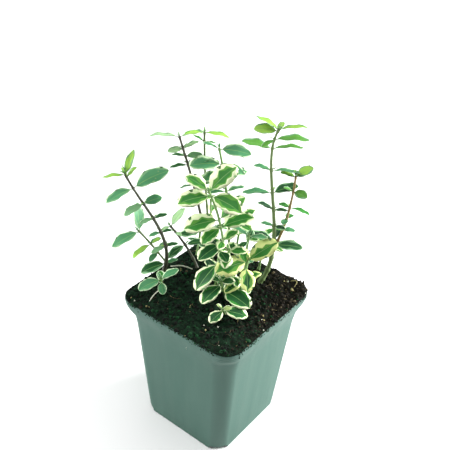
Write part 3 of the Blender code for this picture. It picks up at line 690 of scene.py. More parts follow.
def sweep(bm: BMesh, spine: Sequence[Vector], radii: Sequence[float], sides: int, tone: Enum,
          relief: Callable[[int, int], float] | None = None) -> None:
    """Draw a closed tube along a spine, ring by ring.

    Args:
        bm: The bmesh that gets the tube.
        spine: Centres of the rings.
        radii: Radius of each ring.
        sides: Points of a ring.
        tone: Tone of the tube.
        relief: Share that a ring's point stands out by, for a ring and a point.
    """
    before = set(bm.faces)
    ring = bmesh.ops.create_circle(bm, cap_ends=True, segments=sides, radius=1.0)["verts"]
    for i, (centre, radius) in enumerate(zip(spine, radii)):
        if i:
            ring = extrude_ring(bm, ring)
        axis = (spine[min(i + 1, len(spine) - 1)] - spine[max(i - 1, 0)]).normalized()
        side = axis.cross(Vector((0, 1, 0)) if abs(axis.y) < 0.9 else Vector((1, 0, 0))).normalized()
        other = axis.cross(side)
        for k, vertex in enumerate(ring):
            angle = math.tau * k / sides
            out = radius * (1 + (relief(i, k) if relief else 0.0))
            vertex.co = centre + out * (math.cos(angle) * side + math.sin(angle) * other)
    bm.faces.new(ring)
    tube = [face for face in bm.faces if face not in before]
    for face in tube:
        face.material_index = tone_index(tone)
    bmesh.ops.recalc_face_normals(bm, faces=tube)


def blend(knots: Sequence[Vector], t: float) -> Vector:
    """Smooth curve through evenly spaced knots, read at a share of the way."""
    layer = list(knots)
    last = len(knots) - 1
    for span in range(1, last + 1):
        for i in range(last + 1 - span):
            start, end = i / last, (i + span) / last
            layer[i] = layer[i].lerp(layer[i + 1], (t - start) / (end - start))
    return layer[0]


def soil_height(x: float, y: float) -> float:
    """Height of the domed soil of the solids over a point."""
    share = max(abs(x), abs(y)) / (RIM_WIDTH / 2 - WALL - CLEAR)
    for (far, low), (near, high) in pairwise(SOIL_PROFILE):
        if share >= near:
            return SOIL_EDGE + low + (high - low) * (far - min(share, far)) / (far - near)
    return SOIL_EDGE


def guard_loft(rings: Sequence[Sequence[Vector]], tip: Vector | None = None) -> BMesh:
    """Closed skin through rings of equal count, only to test what touches what.

    Args:
        rings: The rings' points.
        tip: Point that closes the last ring, if it isn't closed flat.

    Returns:
        The skin's bmesh.
    """
    bm = bmesh.new()
    loops = [[bm.verts.new(point) for point in ring] for ring in rings]
    turn = [(i, (i + 1) % len(rings[0])) for i in range(len(rings[0]))]
    for low, high in pairwise(loops):
        for i, j in turn:
            bm.faces.new((low[i], low[j], high[j], high[i]))
    bm.faces.new(loops[0][::-1])
    if tip is None:
        bm.faces.new(loops[-1])
        return bm
    end = bm.verts.new(tip)
    for i, j in turn:
        bm.faces.new((loops[-1][i], loops[-1][j], end))
    bmesh.ops.triangulate(bm, faces=bm.faces)
    return bm


@dataclass
class LeafBlade:
    """One leaf: its root, direction, slope and size in millimetres, and its pair's place on the shoot.

    start is the slope at the root in radians, half is half the blade's width, and order counts the pairs
    from the tip down.
    """

    root: Vector
    azimuth: float
    start: float
    roll: float
    length: float
    half: float
    order: int = 0

    def half_width(self, u: float) -> float:
        """Half the blade's width at a share of the length."""
        s = min(1.0, max(0.0, (u - PETIOLE) / (1 - PETIOLE)))
        return max(PETIOLE_HALF_WIDTH, self.half * 2 * s ** LEAF_FOOT_POWER * (1 - s) ** LEAF_TIP_POWER)

    def point(self, u: float, v: float, lift: float = 0.0, widen: float = 0.0,
              width: float | None = None) -> Vector:
        """Point on the blade.

        Args:
            u: Share of the length.
            v: Share of the half width, from -1 to 1.
            lift: Height over the blade.
            widen: What the half width is grown by.
            width: Half width, where it isn't the rule's own.

        Returns:
            The point.
        """
        bend = math.radians(LEAF_CURL)
        slope = self.start - bend * u
        reach = self.length * (math.sin(self.start) - math.sin(slope)) / bend
        height = self.length * (math.cos(slope) - math.cos(self.start)) / bend
        out = Vector((math.cos(self.azimuth), math.sin(self.azimuth), 0))
        side = Vector((-out.y, out.x, 0))
        normal = UP * math.cos(slope) - out * math.sin(slope)
        across = side * math.cos(self.roll) + normal * math.sin(self.roll)
        upward = normal * math.cos(self.roll) - side * math.sin(self.roll)
        wide = (self.half_width(u) if width is None else width) + widen
        spine = self.root + out * reach + UP * height
        return spine + across * (v * wide) + upward * (abs(v) * wide * LEAF_FOLD + lift)

    def guard(self, start: float, widen: float) -> BVHTree:
        """Search tree of a coarse skin that keeps leaves apart.

        Args:
            start: Share of the length at which it starts; it ends at the tip.
            widen: Margin that it is grown by.

        Returns:
            The tree.
        """
        rings = []
        for u in (start, *GUARD_STATIONS):
            depth = (PETIOLE_HALF_DEPTH if u <= PETIOLE else LEAF_HALF_DEPTH) + widen * DEPTH_SPARE
            rings.append((self.point(u, 0, -depth), self.point(u, 1, 0, widen),
                          self.point(u, 0, depth), self.point(u, -1, 0, widen)))
        return tree_of(guard_loft(rings, self.point(1 + widen / self.length, 0)))

    def clear_of_soil(self) -> bool:
        """Whether every part of the blade stays above the soil and the rim."""
        spots = [self.point(u, v) for u in (*GUARD_STATIONS, 1.0) for v in (-1, 0, 1)]
        return all(s.z >= max(POT_HEIGHT, soil_height(s.x, s.y)) + SOIL_CLEAR for s in spots)


def tree_of(bm: BMesh) -> BVHTree:
    """Search tree of a bmesh, which is then freed."""
    tree = BVHTree.FromBMesh(bm)
    bm.free()
    return tree


class Thicket:
    """Everything grown so far, by shoot, to keep the shoots and leaves apart."""

    def __init__(self) -> None:
        """Start with nothing grown."""
        self.solids: list[tuple[str, Vector, float, BVHTree]] = []

    def add(self, owner: str, place: Vector, reach: float, tree: BVHTree) -> None:
        """Remember a solid by its owner, a point on it and how far it reaches from there."""
        self.solids.append((owner, place, reach, tree))

    def has_room(self, owner: str, leaf: LeafBlade) -> bool:
        """Whether a leaf's blade is clear of its own shoot, and all of the leaf clear of the others."""
        whole = leaf.guard(0.0, SPARE)
        blade = leaf.guard(BLADE_START, OWN_SPARE)
        near = [(other, tree) for other, place, reach, tree in self.solids
                if (place - leaf.root).length <= reach + leaf.length + 2 * SPARE]
        return not any((blade if other == owner else whole).overlap(tree) for other, tree in near)


class Limb:
    """A shoot as grown: the curve of its stem, measured along its length from the foot, and its leaves."""

    SAMPLES = 60

    def __init__(self, shoot: Shoot, parent: "Limb | None") -> None:
        """Lay the stem, a fork starting on its parent's curve.

        Args:
            shoot: The shoot.
            parent: The limb that it forks from, if any.
        """
        self.shoot = shoot
        if parent:
            foot = parent.at(parent.level(shoot.foot))
        else:
            foot = Vector((*shoot.foot, soil_height(*shoot.foot) + CLEAR))
        knots = [foot, *map(Vector, shoot.way)]
        self.points = [blend(knots, i / self.SAMPLES) for i in range(self.SAMPLES + 1)]
        self.marks = list(accumulate(((b - a).length for a, b in pairwise(self.points)), initial=0.0))
        self.length = self.marks[-1]
        self.start = self.clear_of(parent) if parent else 0.0
        self.split = max(shoot.bare, self.start + BRANCH_STUB) - SPLIT_BELOW_LEAVES
        self.pairs = self.pair_marks()
        self.leaves: list[LeafBlade] = []

    def at(self, s: float) -> Vector:
        """Point at a distance from the foot."""
        i = 0
        while s > self.marks[i + 1] and i < self.SAMPLES - 1:
            i += 1
        share = (s - self.marks[i]) / (self.marks[i + 1] - self.marks[i])
        return self.points[i].lerp(self.points[i + 1], share)

    def along(self, s: float) -> Vector:
        """Direction of growth at a distance from the foot."""
        step = self.length / self.SAMPLES
        return (self.at(min(s + step, self.length)) - self.at(max(s - step, 0.0))).normalized()

    def level(self, z: float) -> float:
        """Distance from the foot at which the stem passes a height."""
        return next((mark for mark, point in zip(self.marks, self.points) if point.z >= z), self.length)

    def radius(self, s: float) -> float:
        """Radius of the stem at a distance from its foot, with a flare at the soil."""
        girth = self.shoot.girth
        taper = girth + (STEM_TIP_RADIUS - girth) * (max(s, 0.0) / self.length) ** TAPER_POWER
        flare = 0.0 if self.shoot.parent else FOOT_FLARE * max(0.0, 1 - s / FLARE_HEIGHT) ** 2
        return taper * (1 + flare)

    def clear_of(self, parent: "Limb") -> float:
        """Distance along a fork at which its stem stands clear of its parent's."""
        s = 0.0
        while s < self.shoot.bare - BRANCH_STUB:
            gaps = [(point - self.at(s)).length for point in parent.points]
            nearest = gaps.index(min(gaps))
            if gaps[nearest] - parent.radius(parent.marks[nearest]) >= self.radius(s) + CLEAR:
                break
            s += CLEAR
        return s

    def guard(self) -> BVHTree:
        """Search tree of a coarse tube round the stem, which keeps leaves off it."""
        reach = self.length - self.start
        count = max(2, math.ceil(reach / GUARD_STEP))
        turns = [math.tau * k / GUARD_SIDES for k in range(GUARD_SIDES)]
        rings = []
        for i in range(count + 1):
            s = self.start + reach * i / count
            axis = self.along(s)
            side = axis.cross(Vector((0, 1, 0))).normalized()
            other = axis.cross(side)
            centre, out = self.at(s), self.radius(s)
            rings.append([centre + out * (math.cos(a) * side + math.sin(a) * other) for a in turns])
        return tree_of(guard_loft(rings))

    def pair_marks(self) -> list[float]:
        """Distances from the foot at which pairs of leaves stand, from the tip down."""
        own = [pair[0] for pair in PLACED.get(self.shoot.name, ())] or [TIP_STUB]
        marks = [self.length - own[0]]
        while True:
            order = len(marks)
            gap = own[order] if order < len(own) else self.pick(self.shoot.gaps, order - 1)
            if marks[-1] - gap < self.shoot.bare:
                return marks
            marks.append(marks[-1] - gap)

    @staticmethod
    def pick(values: Sequence[float], order: int) -> float:
        """Value for a pair of leaves, the last one holding for all pairs below."""
        return values[min(order, len(values) - 1)]

    def plan_pair(self, mark: float, order: int, rng: random.Random) -> Iterator[LeafPlan]:
        """Plan both leaves of a pair.

        Args:
            mark: Distance of the pair from the foot.
            order: Number of pairs above it.
            rng: Seeded draws of this shoot.

        Yields:
            For each leaf the axis that it rises along, its azimuth, rise and roll in degrees, and its length.
        """
        shoot = self.shoot
        placed = PLACED.get(shoot.name, ())
        if order < len(placed):
            yield from ((UP, *leaf) for leaf in placed[order][1:])
            return
        axis = self.along(mark).lerp(UP, 1 - LEAN_SHARE).normalized()
        odd = order % 2
        for half, sign in ((0, 1), (180, -1)):
            azimuth = shoot.face + shoot.turn * odd + half + rng.uniform(-1, 1) * AZIMUTH_JITTER
            rise = self.pick(shoot.rise, order) + sign * shoot.tilt[odd] + rng.uniform(-1, 1) * RISE_JITTER
            roll = rng.uniform(-1, 1) * ROLL_JITTER
            longer = 1 + rng.uniform(-1, 1) * LENGTH_JITTER
            yield axis, azimuth, rise, roll, self.pick(shoot.leaf, order) * longer

    def new_leaf(self, mark: float, axis: Vector, azimuth: float, rise: float, roll: float,
                 length: float) -> LeafBlade:
        """Leaf at a place on the stem.

        Args:
            mark: Distance from the foot.
            axis: Direction that its slope is measured against.
            azimuth: Direction in degrees.
            rise: Slope in degrees.
            roll: Turn about its own length, in degrees.
            length: Length in millimetres.

        Returns:
            The leaf.
        """
        level = Vector((math.cos(math.radians(azimuth)), math.sin(math.radians(azimuth)), 0))
        out = (level - axis * level.dot(axis)).normalized()
        way = out * math.cos(math.radians(rise)) + axis * math.sin(math.radians(rise))
        slope = math.asin(max(-1.0, min(1.0, way.z)))
        return LeafBlade(self.at(mark) - level * ROOT_DEPTH, math.atan2(way.y, way.x),
                         slope + math.radians(LEAF_CURL / 2), math.radians(roll), length,
                         length * self.shoot.broad / 2)

    def grow_leaves(self, thicket: Thicket) -> None:
        """Place the leaves from the tip down, in pairs, where they fit."""
        rng = random.Random(self.shoot.name)
        for order, mark in enumerate(self.pairs):
            for axis, azimuth, rise, roll, length in list(self.plan_pair(mark, order, rng)):
                for turn, lift, cut in TRIES:
                    leaf = self.new_leaf(mark, axis, azimuth + turn, rise + lift, roll, length * cut)
                    if leaf.clear_of_soil() and thicket.has_room(self.shoot.name, leaf):
                        leaf.order = order
                        self.leaves.append(leaf)
                        thicket.add(self.shoot.name, leaf.root, leaf.length, leaf.guard(0.0, 0.0))
                        break


def grow_plant() -> list[Limb]:
    """Grow every stem, then the leaves of one shoot after another.

    Returns:
        The limbs, in the order of their table.
    """
    limbs: dict[str, Limb] = {}
    thicket = Thicket()
    for shoot in SHOOTS:
        limb = Limb(shoot, limbs.get(shoot.parent))
        limbs[shoot.name] = limb
        thicket.add(shoot.name, limb.at(limb.length / 2), limb.length, limb.guard())
    for limb in limbs.values():
        limb.grow_leaves(thicket)
        log.info("%s: %d leaves", limb.shoot.name, len(limb.leaves))
    return list(limbs.values())


@dataclass
class LeafSheaf:
    """Leaves of one place of the plant, joined into one mesh.

    A ring of points runs round a leaf at every station: across its top from edge to edge, and back across
    its underside. underside gives the points there: share of the half width, and depth below the top.
    rib_half_width is for a leaf of full_length. margin_spread varies the width of a margin, and blend_width
    is the blend's share of the half width. A margin and its blend wave along the leaf: each wave is how fast
    and how much. From flush_start on the margin widens. tooth, pleat, chevron and ripple shape the blade.
    """

    stations: tuple[float, ...] = (0.0, 0.1, 0.17, 0.28, 0.41, 0.54, 0.67, 0.79, 0.89, 0.96, 1.0)
    small_stations: tuple[float, ...] = (0.0, 0.12, 0.4, 0.75, 1.0)
    small_length: float = 7.0
    full_length: float = 20.0
    narrow: float = 0.25
    tip_half_width: float = 0.12
    rib_half_width: float = 0.24
    rib_taper: float = 0.7
    rib_share: float = 0.2
    least_blend: float = 0.06
    least_green: float = 0.16
    margin_spread: Pair = (0.7, 1.3)
    margin_waves: tuple[Pair, Pair] = ((7.0, 0.3), (24.0, 0.25))
    blend_width: Pair = (0.06, 0.3)
    blend_wave: Pair = (13.0, 0.6)
    flush_start: float = 0.62
    foot_end: float = 0.3
    foot_flush: float = 0.5
    tooth: float = 0.022
    teeth_between: Pair = (0.1, 0.97)
    pleat: float = 0.0035
    chevron: float = 0.34
    ripple: float = 0.022
    ripple_power: float = 1.5
    calm_foot: float = 0.25
    thinning: float = 0.45
    stalk_end: float = PETIOLE + 0.02
    underside: tuple[Pair, ...] = ((0.62, 0.24), (0.0, 0.32), (-0.62, 0.24))
    points: list[Vector] = field(default_factory=list)
    faces: list[list[int]] = field(default_factory=list)
    tones: list[int] = field(default_factory=list)

    def columns(self, width: float, rib: float, margins: Sequence[float],
                blends: Sequence[float]) -> list[float]:
        """Shares of the half width at which the points of a ring stand, from edge to edge.

        Args:
            width: The half width there.
            rib: Half width of the midrib.
            margins: Width of the pale margin on either side.
            blends: Width of the tone between green and margin on either side.

        Returns:
            Eight shares from -1 to 1.
        """
        rib = min(self.rib_share, rib / width)
        outer = [max(rib + self.least_green, 1 - margin / width) for margin in margins]
        inner = [max(rib + self.least_blend, edge - soft / width) for edge, soft in zip(outer, blends)]
        return [-1.0, -outer[0], -inner[0], -rib, rib, inner[1], outer[1], 1.0]

    def half_width(self, blade: LeafBlade, u: float) -> float:
        """Half width of the finished leaf, which comes to a blunt or a fine point."""
        s = (u - PETIOLE) / (1 - PETIOLE)
        if s <= 0:
            return blade.half_width(u)
        point = LEAF_TIP_POWER + (0.16 if blade.half / blade.length < self.narrow else 0.04) * u * u
        wide = blade.half * 2 * s ** LEAF_FOOT_POWER * (1 - s) ** point
        return max(self.tip_half_width, PETIOLE_HALF_WIDTH * (1 - s), wide)

    def add(self, blade: LeafBlade, look: Variegation, green: LeafTone, rng: random.Random) -> None:
        """Add one leaf.

        Args:
            blade: The leaf.
            look: How its shoot's leaves are coloured.
            green: Tone of its middle.
            rng: Seeded draws of this shoot.
        """
        small = blade.length < self.small_length
        stations = self.small_stations if small else self.stations
        broad = rng.uniform(*look.margin_share)
        edges = [(blade.half * broad * rng.uniform(*self.margin_spread), rng.uniform(0, math.tau))
                 for _ in range(2)]
        blends = [blade.half * rng.uniform(*self.blend_width) for _ in range(2)]
        phase = rng.uniform(0, math.tau)
        (slow, much), (fast, little) = self.margin_waves
        soft_speed, soft_share = self.blend_wave
        first, last = self.teeth_between
        base = len(self.points)
        for i, u in enumerate(stations):
            zigzag = 1 if i % 2 else -1
            flush = (1 + look.flush * max(0.0, u - self.flush_start)
                     + self.foot_flush * max(0.0, self.foot_end - u))
            margins = [edge * flush * (1 + much * math.sin(slow * u + turn)
                                       + little * math.sin(fast * u + 2 * turn)) for edge, turn in edges]
            soft = [width * (1 + soft_share * math.sin(soft_speed * u + 3 * turn))
                    for width, (_, turn) in zip(blends, edges)]
            rib = self.rib_half_width * (1 - self.rib_taper * u) * blade.length / self.full_length
            top = self.columns(self.half_width(blade, u), rib, margins, soft)
            calm = 0.0 if small else min(1.0, u / self.calm_foot)
            for v, depth in [(share, 0.0) for share in top] + list(self.underside):
                away = abs(v)
                place = u + self.chevron * away * u * (1 - u) * (1 - u) if u > PETIOLE else u
                ripple = self.ripple * math.sin(2 * math.tau * u + phase) * away ** self.ripple_power
                pleat = self.pleat * zigzag * away * (1 - away) * 4
                tooth = 1 + self.tooth * zigzag * (first < u < last) * (away == 1)
                lift = (ripple + pleat) * blade.length * calm - depth * (1 - self.thinning * u)
                width = self.half_width(blade, place) * tooth
                self.points.append(blade.point(place, v, lift, width=width))
        self.skin(base, stations, [look.margin, look.blend, green, LeafTone.RIB, green, look.blend,
                                   look.margin])

    def skin(self, base: int, stations: Sequence[float], top: Sequence[LeafTone]) -> None:
        """Close a leaf's rings of points to a skin.

        Args:
            base: Number of its first point.
            stations: Its stations.
            top: Tones of its top, from edge to edge.
        """
        count = len(top) + 1 + len(self.underside)
        around = [*top, *[LeafTone.BACK] * (count - len(top))]
        for i, u in enumerate(stations[1:]):
            low, high = base + i * count, base + (i + 1) * count
            for k in range(count):
                j = (k + 1) % count
                self.faces.append([low + j, low + k, high + k, high + j])
                self.tones.append(tone_index(LeafTone.RIB if u <= self.stalk_end else around[k]))
        self.faces.append([base + k for k in range(count)])
        self.faces.append([base + (len(stations) - 1) * count + k for k in reversed(range(count))])
        self.tones += [tone_index(LeafTone.RIB), tone_index(top[0])]

    def joined(self) -> BMesh:
        """Join the leaves, their faces turned outwards."""
        mesh = bpy.data.meshes.new("leaves")
        mesh.from_pydata(self.points, [], self.faces)
        mesh.polygons.foreach_set("material_index", self.tones)
        bm = bmesh.new()
        bm.from_mesh(mesh)
        bpy.data.meshes.remove(mesh)
        bmesh.ops.recalc_face_normals(bm, faces=bm.faces)
        return bm


@dataclass
class Foliage:
    """Leaves, twigs and bark of the plant, joined by place, each kind apart."""

    limbs: Sequence[Limb]
    ring_step: float = 1.1
    sides: int = 9
    sunk: float = 0.9
    knot_reach: float = 0.9
    knot_swell: float = 0.34
    scars_above: float = 8.0
    scar_gap: Pair = (7.0, 12.0)
    ridge: float = 0.07
    ridge_scales: Triple = (1.7, 0.25, 40.0)
    axil_chance: float = 0.6
    axil_length: Pair = (2.4, 4.4)
    axil_rise: Pair = (30.0, 50.0)
    axil_half: float = 0.24
    buds: int = 4
    bud_sunk: float = 0.3
    bud_spread: float = 12.0
    bud_lengths: tuple[Pair, Pair] = ((2.0, 3.0), (3.2, 4.6))
    bud_rise: Pair = (52.0, 76.0)

    def build(self) -> None:
        """Make three pieces for each place of the plant."""
        for place in Place:
            sheaf, stems, twigs = LeafSheaf(), bmesh.new(), bmesh.new()
            limbs = [limb for limb in self.limbs if DRESSES[limb.shoot.name].place is place]
            for limb in limbs:
                self.add_leaves(sheaf, limb)
                self.add_bark(stems, twigs, limb)
            sprays = ["spray_" + limb.shoot.name for limb in limbs]
            bare = [("bough_" if limb.shoot.parent else "stem_") + limb.shoot.name for limb in limbs]
            finish_piece(f"leaves_{place.value}", sheaf.joined(), LEAF_FINISHES, sprays)
            finish_piece(f"twigs_{place.value}", twigs, BARK_FINISHES, sprays)
            finish_piece(f"stems_{place.value}", stems, BARK_FINISHES, bare)

    def add_leaves(self, sheaf: LeafSheaf, limb: Limb) -> None:
        """Add a limb's leaves, the small leaves in their axils and the bud at its tip."""
        dress = DRESSES[limb.shoot.name]
        look = dress.leaves
        rng = random.Random(limb.shoot.name + " looks")
        for blade in limb.leaves:
            longer, wider = (a * b for a, b in zip(dress.fuller, (1, 1) if blade.order else dress.crown))
            full = replace(blade, length=blade.length * longer, half=blade.half * wider)
            sheaf.add(full, look, look.tone(blade.order, rng), rng)
            if blade.order and rng.random() < self.axil_chance:
                sheaf.add(self.axil_leaf(blade, rng), look, look.tips[0], rng)
        for k in range(self.buds):
            azimuth = limb.shoot.face + k * 360 / self.buds + rng.uniform(-self.bud_spread, self.bud_spread)
            length = dress.buds * rng.uniform(*self.bud_lengths[k % 2])
            bud = limb.new_leaf(limb.length - self.bud_sunk, limb.along(limb.length), azimuth,
                                rng.uniform(*self.bud_rise), 0, length)
            sheaf.add(bud, look, look.tips[0], rng)

    def axil_leaf(self, blade: LeafBlade, rng: random.Random) -> LeafBlade:
        """Small leaf that stands in the angle between a leaf and its stem."""
        length = rng.uniform(*self.axil_length)
        azimuth = blade.azimuth + rng.uniform(-0.5, 0.5)
        start = blade.start + math.radians(rng.uniform(*self.axil_rise))
        return LeafBlade(blade.root + UP * 0.5, azimuth, start, 0.0, length, length * self.axil_half)

    def add_bark(self, stems: BMesh, twigs: BMesh, limb: Limb) -> None:
        """Add a limb's stem up to its first leaves, and the twig that carries them."""
        rng = random.Random(limb.shoot.name + " bark")
        knots = list(limb.pairs)
        while knots[-1] > self.scars_above:
            knots.append(knots[-1] - rng.uniform(*self.scar_gap))
        self.add_tube(stems, limb, 0.0 if limb.shoot.parent else -self.sunk, limb.split + CLEAR, knots)
        self.add_tube(twigs, limb, limb.split, limb.length, knots)

    def add_tube(self, bm: BMesh, limb: Limb, start: float, end: float, knots: Sequence[float]) -> None:
        """Add a length of stem with ridged bark and a swelling at every knot.

        Args:
            bm: The bmesh that gets it.
            limb: The limb.
            start: Distance from the foot at which it starts.
            end: Distance from the foot at which it ends.
            knots: Distances from the foot of the leaf pairs and leaf scars.
        """
        count = max(2, math.ceil((end - start) / self.ring_step))
        marks = [start + (end - start) * i / count for i in range(count + 1)]
        swell = [sum(math.exp(-((s - knot) / self.knot_reach) ** 2) for knot in knots) for s in marks]
        radii = [limb.radius(s) * (1 + self.knot_swell * min(1.0, more)) for s, more in zip(marks, swell)]
        around, along, across = self.ridge_scales

        def ridges(i: int, k: int) -> float:
            """Share that the bark stands out by, in ridges that run along the stem."""
            return self.ridge * noise.noise(Vector((k * around, marks[i] * along, limb.shoot.girth * across)))

        spine = [limb.at(s) if s >= 0 else limb.at(0) + UP * s for s in marks]
        sweep(bm, spine, radii, self.sides, DRESSES[limb.shoot.name].bark, ridges)


@dataclass
class Pot:
    """Square nursery pot whose wall flares to a lip, with blunted corners, a notched foot and drain holes.

    levels gives, from the foot up, a height, the width over the flats, the length that a corner takes off
    each flat, and how round the corner is, from 0.25 for a straight cut to 0.5 for an arc. A row of the
    shell holds the last three and then the height.
    """

    levels: tuple[Row, ...] = (
        (0.0, BASE_WIDTH, 9.0, 0.42), (78.0, 79.5, 10.8, 0.46), (88.5, 84.3, 13.0, 0.4),
        (92.2, 87.8, 11.0, 0.5), (BEAD_FOOT, RIM_WIDTH, RIM_CORNER, 0.5))
    heights: tuple[float, ...] = (0.4, 4.0, 28.0, 54.0, 74.0, 77.0, 79.0, 83.0, 86.5, 88.0, 89.4, 91.0,
                                  92.4, 93.6)
    inside_heights: tuple[float, ...] = (92.0, 88.0, 84.0, 79.0, FLOOR)
    segments: int = 14
    edge: float = 0.4
    foot_width: float = 2.2
    foot_recess: float = 0.8
    notch: float = 2.1
    soften: float = 2.8
    beads: tuple[float, ...] = (94.3, 96.2)
    bead_height: float = 0.7
    bead_cut: float = 0.7
    drain_segments: int = 32

    def square_loop(self, bm: BMesh, width: float, cut: float, round_share: float, z: float) -> list[BMEdge]:
        """Draw a square with blunted corners as a loop of edges.

        Args:
            bm: The bmesh.
            width: Width over the flats.
            cut: Length that a corner takes off each flat.
            round_share: How round the corner is.
            z: Height.

        Returns:
            The loop's edges.
        """
        before = set(bm.edges)
        made = bmesh.ops.create_grid(bm, x_segments=1, y_segments=1, size=width / 2)["verts"]
        bmesh.ops.translate(bm, verts=made, vec=(0, 0, z))
        bmesh.ops.bevel(bm, geom=made, affect="VERTICES", offset=cut, offset_type="OFFSET",
                        segments=self.segments, profile=round_share, material=-1)
        edges = [edge for edge in bm.edges if edge not in before]
        faces = {face for edge in edges for face in edge.link_faces}
        bmesh.ops.delete(bm, geom=list(faces), context="FACES_ONLY")
        return edges

    def outline(self, z: float, inset: float = 0.0) -> Row:
        """Row of the wall at a height, its bends softened, moved in by an inset."""
        reach = min(self.soften, z, BEAD_FOOT - z)
        rows = []
        for k in range(-3, 4):
            here = z + reach * k / 3
            low, high = next(pair for pair in pairwise(self.levels) if here <= pair[1][0] + CLEAR)
            share = (here - low[0]) / (high[0] - low[0])
            rows.append([a + (b - a) * share for a, b in zip(low[1:], high[1:])])
        return (*self.shrink(*(sum(column) / len(rows) for column in zip(*rows)), inset), z)

    @staticmethod
    def shrink(width: float, cut: float, round_share: float, inset: float) -> Triple:
        """Move a blunted square's sides and corners in by the same distance."""
        return width - 2 * inset, cut - inset * (0.172 + 1.656 * round_share), round_share

    def profile(self) -> list[Row]:
        """Rows of the shell, from the underside out and over the rim to the inside."""
        base, rim = self.levels[0][1:], self.levels[-1][1:]
        inner, inside = self.shrink(*base, self.foot_width), self.shrink(*rim, WALL)
        rows = [(*inner, self.foot_recess), (*inner, 0.0), (*self.shrink(*base, self.edge), 0.0)]
        rows += [self.outline(z) for z in self.heights]
        for z in self.beads:
            width, cut, round_share, _ = self.outline(z)
            rows += [(width, cut + self.bead_cut, round_share, z), self.outline(z + self.bead_height)]
        rows += [(*rim, POT_HEIGHT - self.edge), (*self.shrink(*rim, self.edge / 2), POT_HEIGHT)]
        rows += [(*inside, POT_HEIGHT - self.edge / 2), (*inside, BEAD_FOOT)]
        return rows + [self.outline(z, WALL) for z in self.inside_heights]

    def cut_notches(self, loops: Sequence[list[BMEdge]]) -> None:
        """Raise the foot between the two ends of each corner.

        Args:
            loops: The loops of the foot ring.
        """
        for edges in loops:
            verts = {vertex for edge in edges for vertex in edge.verts}
            skew = {vertex: abs(abs(vertex.co.x) - abs(vertex.co.y)) for vertex in verts}
            reach = max(vertex.co.x for vertex in verts)
            end = max(skew[vertex] for vertex in verts if vertex.co.x > reach - 0.01)
            for vertex in verts:
                if skew[vertex] < end - 0.3:
                    vertex.co.z += self.notch

    def drains(self, bm: BMesh, z: float) -> list[list[BMEdge]]:
        """Draw the four drain holes as loops of edges at a height."""
        loops = []
        for x, y in ((-1, -1), (-1, 1), (1, -1), (1, 1)):
            before = set(bm.edges)
            made = bmesh.ops.create_circle(bm, segments=self.drain_segments, radius=DRAIN_RADIUS)["verts"]
            bmesh.ops.translate(bm, verts=made, vec=(x * DRAIN_OFFSET, y * DRAIN_OFFSET, z))
            loops.append([edge for edge in bm.edges if edge not in before])
        return loops

    def build(self) -> None:
        """Make the pot as one closed shell."""
        bm = bmesh.new()
        loops = [self.square_loop(bm, *row) for row in self.profile()]
        low_holes, high_holes = self.drains(bm, self.foot_recess), self.drains(bm, FLOOR)
        for low, high in (*pairwise(loops), *zip(low_holes, high_holes)):
            bmesh.ops.bridge_loops(bm, edges=low + high)
        for outline, holes in ((loops[0], low_holes), (loops[-1], high_holes)):
            bmesh.ops.triangle_fill(bm, use_beauty=True, edges=outline + [e for hole in holes for e in hole])
        self.cut_notches(loops[1:4])
        bmesh.ops.recalc_face_normals(bm, faces=bm.faces)
        piece = finish_piece("pot_shell", bm, [PLASTIC], ["pot"])
        piece.data.set_sharp_from_angle(angle=math.radians(9))


